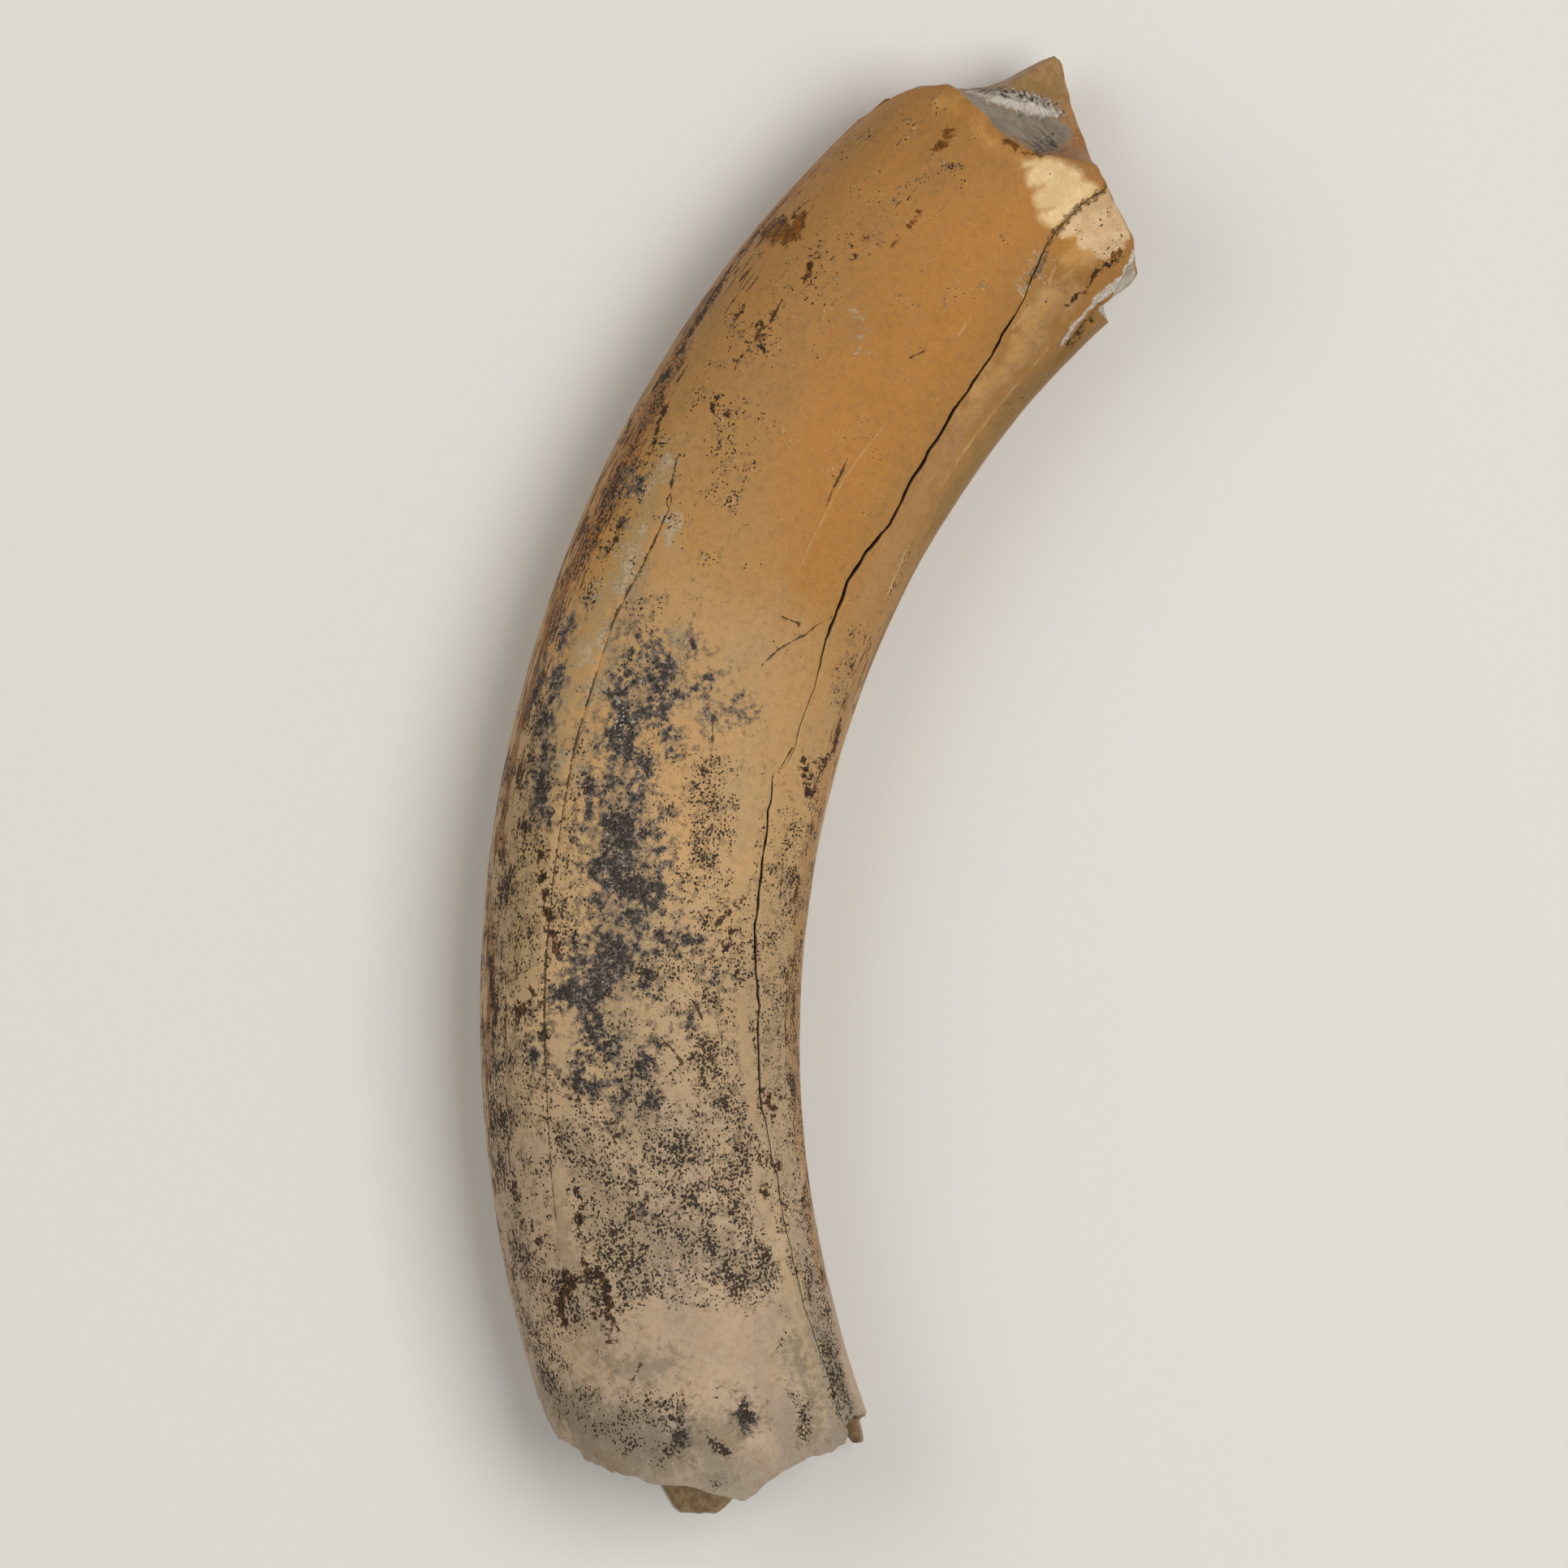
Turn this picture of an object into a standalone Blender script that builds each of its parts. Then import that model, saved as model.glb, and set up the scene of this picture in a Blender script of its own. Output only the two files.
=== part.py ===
"""Fossil tooth of the giant ground sloth Lestodon, lying on its flatter side. Metres, +Z up.

The tooth never stopped growing, so it is one section swept along an arc: open at the root,
where the wall thins out round a deep pulp cavity, and worn to a pointed spur at the crown.
Places on it are given in its own bent frame: `along` runs up the arc from the root, `across`
runs to the inner, concave side, and `up` is the height over the middle of the section.
"""

import math

import bmesh
import bpy
from mathutils import Vector

# The arc, from the root to the crown. Headings are counter-clockwise from +X, seen from above.
ARC_LENGTH = 0.190
ROOT_POINT = (-0.00834, -0.08770)
ROOT_HEADING = math.radians(112.7)
ARC_TURN = math.radians(-69.3)
ARC_TIGHTENING = math.radians(-9.7)
ARC_STEPS = 380
ARC_MARGIN_STEPS = 20

# The section: half its width along the arc, and its heights over and under the middle.
HALF_WIDTH_ROOT = 0.01856
HALF_WIDTH_GROWTH = 0.00435
HALF_WIDTH_EASING = -0.00367
MIDDLE_HEIGHT = 0.0125
HEIGHT_ABOVE = 0.0150
HEIGHT_BELOW = 0.0127
ROUNDNESS_ABOVE = 2.25
ROUNDNESS_BELOW = 2.70
INNER_SIDE_THINNING = 0.10
ROOT_THINNING = 0.07
THINNED_SHARE = 0.5

# Low relief that runs the length of the tooth: (angle round the section, width, height).
FLUTES = (
    (math.radians(205), math.radians(15), -0.0007),
    (math.radians(178), math.radians(12), 0.0003),
    (math.radians(318), math.radians(20), -0.0006),
    (math.radians(70), math.radians(30), -0.0002),
)
RELIEF_FADE_AT_ROOT = 0.03
RELIEF_FADE_AT_CROWN = 0.02
GROOVE_ACROSS = -0.0118
GROOVE_DEPTH = 0.0003

# The open crack along the inner edge of the upper face: (along, across) as a share of half the width.
CRACK_ROUTE = (
    (0.000, 0.855),
    (0.020, 0.82),
    (0.036, 0.805),
    (0.050, 0.75),
    (0.062, 0.742),
    (0.074, 0.695),
    (0.087, 0.675),
    (0.094, 0.64),
    (0.099, 0.73),
    (0.116, 0.685),
    (0.124, 0.675),
    (0.131, 0.73),
    (0.145, 0.695),
    (0.152, 0.665),
    (0.160, 0.62),
    (0.168, 0.52),
    (0.174, 0.39),
    (0.180, 0.33),
    (0.190, 0.40),
)
CRACK_HALF_WIDTH = 0.00030
CRACK_DEPTHS = ((0.004, 0.0004), (0.140, 0.0009), (0.170, 0.0009), (0.185, 0.0))

# The broken rim of the root, as (across, along), on the upper and the lower side.
RIM_ABOVE = (
    (-0.0190, 0.0186),
    (-0.0181, 0.0137),
    (-0.0160, 0.0116),
    (-0.0146, 0.0097),
    (-0.0117, 0.0076),
    (-0.0085, 0.0054),
    (-0.0053, 0.0041),
    (-0.0019, 0.0016),
    (0.0006, -0.0003),
    (0.0031, 0.0003),
    (0.0060, 0.0011),
    (0.0091, 0.0016),
    (0.0140, 0.0010),
    (0.0150, 0.0015),
    (0.0159, 0.0037),
    (0.0186, 0.0039),
)
RIM_BELOW = (
    (-0.0190, 0.0186),
    (-0.0160, 0.0155),
    (-0.0130, 0.0120),
    (-0.0100, 0.0085),
    (-0.0084, 0.0050),
    (-0.0075, 0.0007),
    (-0.0059, 0.0000),
    (-0.0034, -0.0011),
    (-0.0002, -0.0002),
    (0.0030, 0.0012),
    (0.0060, 0.0030),
    (0.0120, 0.0040),
    (0.0151, 0.0038),
    (0.0158, 0.0012),
    (0.0162, 0.0002),
    (0.0171, 0.0003),
    (0.0176, 0.0030),
    (0.0186, 0.0039),
)

# The worn crown, as (across, along): the crest of the biting surface with its spur, the upper edge, which
# is worn back to a scoop in front of the spur, and the lower edge.
OUTER_SHOULDER = ((-0.0194, 0.1680), (-0.0189, 0.1702), (-0.0184, 0.1732), (-0.0178, 0.1749), (-0.0157, 0.1774))
INNER_SHOULDER = ((0.0110, 0.1842), (0.0133, 0.1837), (0.0156, 0.1822), (0.0171, 0.1813), (0.0178, 0.1797))
CREST = (
    *OUTER_SHOULDER,
    (-0.0139, 0.1789),
    (-0.0125, 0.1809),
    (-0.0118, 0.1832),
    (-0.0115, 0.1855),
    (-0.0111, 0.1879),
    (-0.0107, 0.1893),
    (-0.0097, 0.1896),
    (-0.0073, 0.1887),
    (-0.0043, 0.1876),
    (-0.0007, 0.1867),
    (0.0029, 0.1857),
    (0.0073, 0.1848),
    *INNER_SHOULDER,
)
UPPER_EDGE = (
    *OUTER_SHOULDER,
    (-0.0098, 0.1786),
    (-0.0062, 0.1787),
    (-0.0034, 0.1797),
    (-0.0013, 0.1811),
    (0.0006, 0.1830),
    (0.0029, 0.1850),
    (0.0073, 0.1848),
    *INNER_SHOULDER,
)
LOWER_EDGE = (
    (-0.0196, 0.1715),
    (-0.0163, 0.1760),
    (-0.0120, 0.1795),
    (-0.0060, 0.1812),
    (0.0040, 0.1814),
    (0.0120, 0.1802),
    (0.0172, 0.1775),
)
SPUR_ACROSS = -0.0100
CREST_UP = -0.0020
SCOOP_POWER = 1.7
FAR_SLOPE_POWER = 1.2
DISH_ACROSS = 0.0050
DISH_UP = -0.0075
DISH_RADIUS = 0.0060
DISH_DEPTH = 0.0010
EDGE_ROUNDING = 0.0006

# The outer layer is broken off the crown's inner side, down to a ledge: (up, across) of what is left,
# at the ledge and at the crown.
BREAK_AT_LEDGE = (
    (-0.0130, 0.0150),
    (-0.0080, 0.0168),
    (0.0020, 0.0174),
    (0.0060, 0.0174),
    (0.0080, 0.0172),
    (0.0085, 0.0200),
)
BREAK_AT_CROWN = (
    (-0.0130, 0.0150),
    (-0.0080, 0.0168),
    (0.0020, 0.0177),
    (0.0050, 0.0173),
    (0.0090, 0.0155),
    (0.0095, 0.0200),
)
BREAK_RISE = (0.1750, 0.1810)
LEDGE_ALONG = 0.1742
LEDGE_SLOPE = 0.0008

# The pulp cavity: a cone in the root, as a share of the section at the rim, closing at its tip.
CAVITY_TIP = 0.062
CAVITY_MOUTH_SHARE = 0.95
CAVITY_TAPER = 0.80
RIM_BEVEL = 0.0002

# How finely the skin is faceted. Columns run up the tooth, rings round it.
COLUMNS_SIDE_TO_CRACK = 7
COLUMNS_CRACK_TO_GROOVE = 21
COLUMNS_GROOVE_TO_SIDE = 9
COLUMNS_BELOW = 29
CAVITY_RINGS = 11
WALL_RINGS = 42
CROWN_RINGS = 11

# Rings of the wall crowd towards the crown, and rings of the crown towards its edge.
WALL_CROWDING = 0.14
WALL_CROWDING_POWER = 6
CROWN_CROWDING = 1.2
EDGE_SEARCHES = 4
SHARP_EDGE = math.radians(40)
THINNEST = 0.0001

TOOTH_COLOUR = (0.462, 0.262, 0.117, 1.0)
TOOTH_ROUGHNESS = 0.45


def through(points, value):
    """The height at value of the line through points, level beyond its ends."""
    if value <= points[0][0]:
        return points[0][1]
    for (left, start), (right, end) in zip(points, points[1:]):
        if value <= right:
            return start + (end - start) * (value - left) / (right - left)
    return points[-1][1]


def signed_power(value, power):
    return math.copysign(abs(value) ** power, value)


def clamp(value):
    return min(1.0, max(0.0, value))


def heading(along):
    share = along / ARC_LENGTH
    return ROOT_HEADING + ARC_TURN * share + ARC_TIGHTENING * share * share


def arc_points():
    """Points of the arc at even steps, from a little before the root to the crown."""
    step = ARC_LENGTH / ARC_STEPS
    x, y = ROOT_POINT
    points = {0: (x, y)}
    for i in range(ARC_STEPS + ARC_MARGIN_STEPS):
        angle = heading((i + 0.5) * step)
        x, y = x + step * math.cos(angle), y + step * math.sin(angle)
        points[i + 1] = (x, y)
    x, y = ROOT_POINT
    for i in range(0, -ARC_MARGIN_STEPS, -1):
        angle = heading((i - 0.5) * step)
        x, y = x - step * math.cos(angle), y - step * math.sin(angle)
        points[i - 1] = (x, y)
    return points


ARC = arc_points()


def place(along, across, up):
    """The point of space at a place in the tooth's bent frame."""
    position = along / ARC_LENGTH * ARC_STEPS
    below = math.floor(position)
    share = position - below
    (x0, y0), (x1, y1) = ARC[below], ARC[below + 1]
    angle = heading(along)
    x = x0 + (x1 - x0) * share + across * math.sin(angle)
    y = y0 + (y1 - y0) * share - across * math.cos(angle)
    return Vector((x, y, max(0.0, MIDDLE_HEIGHT + up)))


def half_width(along):
    share = along / ARC_LENGTH
    return HALF_WIDTH_ROOT + HALF_WIDTH_GROWTH * share + HALF_WIDTH_EASING * share * share


def height_above(share_across, along):
    """The height of the upper side, which thins to the inner side and to the root."""
    root = ROOT_THINNING * clamp(1 - along / (THINNED_SHARE * ARC_LENGTH))
    return HEIGHT_ABOVE * (1 - INNER_SIDE_THINNING * share_across) * (1 - root)


def outline(angle, along):
    """(across, up) of the section at an angle round it, 0 on the inner side and a quarter turn on top."""
    above = math.sin(angle) >= 0
    power = 2 / (ROUNDNESS_ABOVE if above else ROUNDNESS_BELOW)
    share_across = signed_power(math.cos(angle), power)
    share_up = signed_power(math.sin(angle), power)
    height = height_above(share_across, along) if above else HEIGHT_BELOW
    return share_across * half_width(along), share_up * height


def angle_of_share(share_across):
    """The angle on the upper side at a share of half the width."""
    return math.acos(signed_power(share_across, ROUNDNESS_ABOVE / 2))


def relief(angle, along):
    """How far the flutes lift the wall."""
    fading = clamp(along / RELIEF_FADE_AT_ROOT) * clamp((ARC_LENGTH - along) / RELIEF_FADE_AT_CROWN)
    lift = 0.0
    for centre, width, height in FLUTES:
        away = (angle - centre) / width
        lift += height * math.exp(-away * away)
    return lift * fading


def surface_up(across, power, height):
    """How far the section reaches up or down at a place across the crown."""
    share_across = min(1.0, abs(across) / half_width(ARC_LENGTH))
    return height * (1 - share_across**power) ** (1 / power)


def crown_along(across, up):
    """Where the tooth ends at a place of the section: it falls from the crest to the upper and the lower edge."""
    crest = through(CREST, across)
    if up >= CREST_UP:
        share_across = across / half_width(ARC_LENGTH)
        top = surface_up(across, ROUNDNESS_ABOVE, height_above(share_across, ARC_LENGTH))
        fall = clamp((up - CREST_UP) / max(THINNEST, top - CREST_UP))
        edge = through(UPPER_EDGE, across)
        return edge + (crest - edge) * (1 - fall) ** SCOOP_POWER
    bottom = surface_up(across, ROUNDNESS_BELOW, HEIGHT_BELOW)
    fall = clamp((CREST_UP - up) / max(THINNEST, bottom + CREST_UP))
    edge = through(LOWER_EDGE, across)
    dish = clamp(1 - math.hypot(across - DISH_ACROSS, up - DISH_UP) / DISH_RADIUS)
    return crest + (edge - crest) * fall**FAR_SLOPE_POWER - DISH_DEPTH * dish * dish * (3 - 2 * dish)


def broken(across, up, along):
    """How far across the inner side still reaches where its outer layer has broken off."""
    start, end = BREAK_RISE
    share = clamp((along - start) / (end - start))
    left = through(BREAK_AT_LEDGE, up) * (1 - share) + through(BREAK_AT_CROWN, up) * share
    ledge = clamp((LEDGE_ALONG - along) / LEDGE_SLOPE)
    return min(across, left + (across - left) * ledge) if across > left else across


def rim_along(angle, along):
    across = outline(angle, along)[0]
    return through(RIM_ABOVE if math.sin(angle) >= 0 else RIM_BELOW, across)


def column_table():
    """The stretch that each column is in, with the share of the way through it or, at the crack, its side."""
    table = [("inner", i / COLUMNS_SIDE_TO_CRACK) for i in range(COLUMNS_SIDE_TO_CRACK)]
    table += [("crack", -1), ("crack", 0), ("crack", 1)]
    middle = COLUMNS_CRACK_TO_GROOVE
    table += [("face", i / middle) for i in range(1, middle)]
    table += [("outer", i / COLUMNS_GROOVE_TO_SIDE) for i in range(COLUMNS_GROOVE_TO_SIDE)]
    table += [("below", i / COLUMNS_BELOW) for i in range(COLUMNS_BELOW)]
    return table


COLUMN_TABLE = column_table()
COLUMNS = len(COLUMN_TABLE)
RINGS = CAVITY_RINGS + 1 + WALL_RINGS + CROWN_RINGS


def column_angle(column, along):
    """The angle of a column round the section. The columns bend so that one follows the crack and one the groove."""
    stretch, share = COLUMN_TABLE[column]
    crack = angle_of_share(through(CRACK_ROUTE, along))
    groove = angle_of_share(GROOVE_ACROSS / half_width(along))
    side = CRACK_HALF_WIDTH / half_width(along)
    if stretch == "inner":
        return (crack - side) * share
    if stretch == "crack":
        return crack + side * share
    if stretch == "face":
        return crack + side + (groove - crack - side) * share
    if stretch == "outer":
        return groove + (math.pi - groove) * share
    return math.pi + math.pi * share


def wall_place(column, share):
    """(angle, along) at a share of the way from the rim to the crown's rounded edge."""
    along = ARC_LENGTH * share
    for _ in range(EDGE_SEARCHES):
        angle = column_angle(column, along)
        rim = rim_along(angle, along)
        across, up = outline(angle, ARC_LENGTH)
        crown = crown_along(broken(across, up, ARC_LENGTH), up) - EDGE_ROUNDING
        along = rim + (crown - rim) * share
    return angle, along


def wall_section(column, share):
    """(across, up, along) of a place on the outer wall."""
    angle, along = wall_place(column, share)
    across, up = outline(angle, along)
    stretch, position = COLUMN_TABLE[column]
    lift = relief(angle, along)
    if stretch == "crack" and position == 0:
        lift -= through(CRACK_DEPTHS, along)
    if stretch == "outer" and position == 0:
        lift -= GROOVE_DEPTH
    grown = 1 + lift / math.hypot(across, up)
    across, up = across * grown, up * grown
    return broken(across, up, along), up, along


def cavity_point(column, share):
    """A point of the pulp cavity's wall, from its tip at 0 to the rim's inner edge at 1."""
    angle, rim = wall_place(column, 0.0)
    start = rim + RIM_BEVEL
    along = CAVITY_TIP + (start - CAVITY_TIP) * share
    across, up = outline(angle, along)
    size = CAVITY_MOUTH_SHARE * share**CAVITY_TAPER
    return place(along, across * size, up * size)


def crown_point(column, share):
    """A point of the biting surface, from its rounded edge at 0 to the tip of the spur at 1."""
    edge_across, edge_up, _ = wall_section(column, 1.0)
    share = share**CROWN_CROWDING
    across = edge_across + (SPUR_ACROSS - edge_across) * share
    up = edge_up + (CREST_UP - edge_up) * share
    inside = clamp(math.hypot(across - edge_across, up - edge_up) / EDGE_ROUNDING)
    drop = EDGE_ROUNDING * (1 - math.sqrt(1 - (1 - inside) ** 2))
    return place(crown_along(across, up) - drop, across, up)


def skin_point(ring, column):
    """The place of a vertex of the skin: rings count up the cavity's wall, the outer wall and the crown."""
    if ring <= CAVITY_RINGS:
        return cavity_point(column, ring / CAVITY_RINGS)
    ring -= CAVITY_RINGS + 1
    if ring <= WALL_RINGS:
        share = ring / WALL_RINGS
        share += WALL_CROWDING * (share - share**WALL_CROWDING_POWER)
        across, up, along = wall_section(column, share)
        return place(along, across, up)
    return crown_point(column, (ring - WALL_RINGS) / CROWN_RINGS)


def tooth_mesh():
    """A sphere shaped into the tooth: its lower pole is pushed up inside as the cavity's tip, and its
    upper pole is the tip of the spur."""
    shape = bmesh.new()
    bmesh.ops.create_uvsphere(shape, u_segments=COLUMNS, v_segments=RINGS, radius=1.0)
    for vertex in shape.verts:
        x, y, z = vertex.co
        ring = round((0.5 + math.asin(max(-1.0, min(1.0, z))) / math.pi) * RINGS)
        column = round(math.atan2(-y, x) / (2 * math.pi) * COLUMNS) % COLUMNS
        vertex.co = skin_point(ring, column)
    bmesh.ops.triangulate(shape, faces=shape.faces[:])
    mesh = bpy.data.meshes.new("tooth")
    shape.to_mesh(mesh)
    shape.free()
    return mesh


def tooth_material():
    material = bpy.data.materials.new("fossil_dentine")
    material.use_nodes = True
    surface = material.node_tree.nodes["Principled BSDF"]
    surface.inputs["Base Color"].default_value = TOOTH_COLOUR
    surface.inputs["Roughness"].default_value = TOOTH_ROUGHNESS
    surface.inputs["Metallic"].default_value = 0.0
    return material


def main():
    for old in list(bpy.data.objects):
        bpy.data.objects.remove(old)
    collection = bpy.data.collections.new("fossil_tooth")
    bpy.context.scene.collection.children.link(collection)
    mesh = tooth_mesh()
    mesh.materials.append(tooth_material())
    tooth = bpy.data.objects.new("tooth", mesh)
    collection.objects.link(tooth)
    mesh.shade_smooth()
    mesh.set_sharp_from_angle(angle=SHARP_EDGE)


main()
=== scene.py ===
"""Looks of the fossil ground sloth tooth: a fine skin over its CAD solid, its mineral stains and its studio.

The tooth is described in its own bent frame, in millimetres: `along` runs up its arc from the root,
`across` runs to the inner, concave side and `up` is the height over the middle of the section.
"""

import logging
import math
from dataclasses import dataclass, field
from enum import Enum

import bpy
import numpy as np
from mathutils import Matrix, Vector


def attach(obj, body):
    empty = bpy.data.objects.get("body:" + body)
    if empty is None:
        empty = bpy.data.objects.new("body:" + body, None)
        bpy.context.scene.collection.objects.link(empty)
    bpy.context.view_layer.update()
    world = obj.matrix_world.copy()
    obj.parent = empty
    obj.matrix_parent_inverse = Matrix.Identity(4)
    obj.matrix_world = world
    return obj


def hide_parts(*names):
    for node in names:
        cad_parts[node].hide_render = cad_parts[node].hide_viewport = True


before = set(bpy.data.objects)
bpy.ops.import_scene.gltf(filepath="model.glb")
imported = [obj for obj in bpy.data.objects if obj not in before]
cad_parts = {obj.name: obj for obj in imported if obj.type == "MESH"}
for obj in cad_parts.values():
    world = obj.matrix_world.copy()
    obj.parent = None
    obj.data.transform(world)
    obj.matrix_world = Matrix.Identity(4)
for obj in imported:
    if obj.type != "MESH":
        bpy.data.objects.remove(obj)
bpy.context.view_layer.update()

MM = 0.001
FULL_TURN = 2 * math.pi
# The way round the section, and what is far outside every stain, in mm.
PERIMETER_MM = 108
OUTSIDE = 6.0
# Cells of a lattice of random values, and what brings a noise texture to a deviation of about 1.
LATTICE_CELLS = 512
NOISE_GAIN = 7.5

Array = np.ndarray
Socket = bpy.types.NodeSocket
Profile = tuple[tuple[float, float], ...]
Path = tuple[tuple[float, float, float], ...]
Corners = tuple[float, float, float, float]
Chips = tuple[tuple[float, float, float, int], ...]
log = logging.getLogger("fossil_tooth")


def through(points: Profile, value: Array) -> Array:
    """Reads the line through points.

    Args:
        points: Corners of the line, as (value, height), in rising order.
        value: Where to read it.

    Returns:
        The heights there, level beyond the line's ends.
    """
    values, heights = np.array(points).T
    return np.interp(value, values, heights)


def ease(value: Array, start: float, end: float) -> Array:
    """Rises smoothly from 0 at start to 1 at end.

    Args:
        value: What is measured.
        start: Where the rise begins.
        end: Where it is complete. It may be lower than start.

    Returns:
        The share, between 0 and 1.
    """
    share = np.clip((value - start) / (end - start), 0, 1)
    return share * share * (3 - 2 * share)


def window(value: Array, corners: Corners) -> Array:
    """Rises smoothly from 0 to 1 over the first two corners and falls back to 0 over the last two."""
    rise, full, fall, gone = corners
    return ease(value, rise, full) * ease(value, gone, fall)


def wander(u: Array, v: Array, seed: int, round_cells: int = LATTICE_CELLS) -> Array:
    """Draws smooth random values on a square lattice.

    Args:
        u: First coordinate, in lattice cells.
        v: Second coordinate, in lattice cells.
        seed: Picks the pattern.
        round_cells: Cells after which the pattern repeats in u, so that it closes round the tooth.

    Returns:
        Values between -1 and 1.
    """
    lattice = np.random.default_rng(seed).uniform(-1, 1, (round_cells, LATTICE_CELLS))
    i, j = np.floor(u).astype(int), np.floor(v).astype(int)
    a, b = ease(u - i, 0, 1), ease(v - j, 0, 1)
    near, far = (
        lattice[i % round_cells, row % LATTICE_CELLS] * (1 - a)
        + lattice[(i + 1) % round_cells, row % LATTICE_CELLS] * a
        for row in (j, j + 1)
    )
    return near * (1 - b) + far * b


def wander_round(turns: Array, cells: int, seed: int) -> Array:
    """Returns random values, -1 to 1, that close after so many cells round the tooth."""
    return wander(turns * cells, turns * 0, seed, cells)


def chipped(u: Array, v: Array, chips: Chips, moved: tuple[float, float] = (0, 0)) -> Array:
    """Sums random patterns of several sizes.

    Args:
        u: First coordinate, in mm.
        v: Second coordinate, in mm.
        chips: The patterns, each as (height, size in u, size in v, seed).
        moved: Cells that the patterns are moved by in u and in v.

    Returns:
        The sum.
    """
    a, b = moved
    return sum(height * wander(u / wide + a, v / long + b, seed) for height, wide, long, seed in chips)


def deviations(cover: Array) -> Array:
    """Turns the share of a surface that noise covers into standard deviations of that noise.

    Args:
        cover: The share, 0 to 1.

    Returns:
        The normal distribution's inverse, by a short formula that is close enough for stains.
    """
    least, factor, power = 0.0002, 4.91, 0.14
    share = np.clip(cover, least, 1 - least)
    return factor * (share**power - (1 - share) ** power)


@dataclass(frozen=True)
class Relief:
    """A random pattern round the tooth, the sum of three finer and finer ones.

    Attributes:
        height: How far it swings either way.
        around: Size of its coarsest lumps round the section, in mm.
        along: Their size along the arc.
        seed: Picks the pattern.
    """

    height: float
    around: float
    along: float
    seed: int

    def over(self, turns: Array, along: Array) -> Array:
        """Returns its height at places round the section, 0 to 1, and along the arc."""
        octaves, usual_sum = 3, 1.5
        cells = round(PERIMETER_MM / self.around)
        total = np.zeros(np.broadcast(turns, along).shape)
        for octave in range(octaves):
            finer = 2**octave
            u, v = turns * cells * finer, along / self.along * finer
            total = total + wander(u, v, self.seed + octave, cells * finer) / finer
        return self.height * (total / usual_sum)


@dataclass(frozen=True)
class Arc:
    """The line that the tooth grew along, seen from above.

    Attributes:
        length: Its length, from the root to the crown.
        root: Where it starts.
        root_heading: Its direction there, counter-clockwise from +X.
        turn: How far it turns over its length.
        tightening: How much further it turns because it bends more towards the crown.
        middle_height: Height of the middle of the section over the floor.
    """

    length: float = 190.0
    root: tuple[float, float] = (-8.34, -87.70)
    root_heading: float = math.radians(112.7)
    turn: float = math.radians(-69.3)
    tightening: float = math.radians(-9.7)
    middle_height: float = 12.5

    def heading(self, along: Array) -> Array:
        """Returns the direction of the arc at places along it."""
        share = along / self.length
        return self.root_heading + self.turn * share + self.tightening * share * share

    def place(self, along: Array, across: Array, up: Array) -> Array:
        """Turns places of the bent frame into points of space.

        Args:
            along: Distance up the arc.
            across: Distance to the inner side.
            up: Height over the middle.

        Returns:
            Points in millimetres, with x, y and z on the last axis. None lies under the floor.
        """
        step, margin = 0.5, 12.0
        ends = np.arange(-margin, self.length + margin, step)
        headings = self.heading(ends[:-1] + step / 2)
        x = np.concatenate([[0], np.cumsum(np.cos(headings) * step)])
        y = np.concatenate([[0], np.cumsum(np.sin(headings) * step)])
        x += self.root[0] - np.interp(0, ends, x)
        y += self.root[1] - np.interp(0, ends, y)
        side = self.heading(along)
        east = np.interp(along, ends, x) + across * np.sin(side)
        north = np.interp(along, ends, y) - across * np.cos(side)
        return np.stack([east, north, np.maximum(0, self.middle_height + up)], axis=-1)


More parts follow.
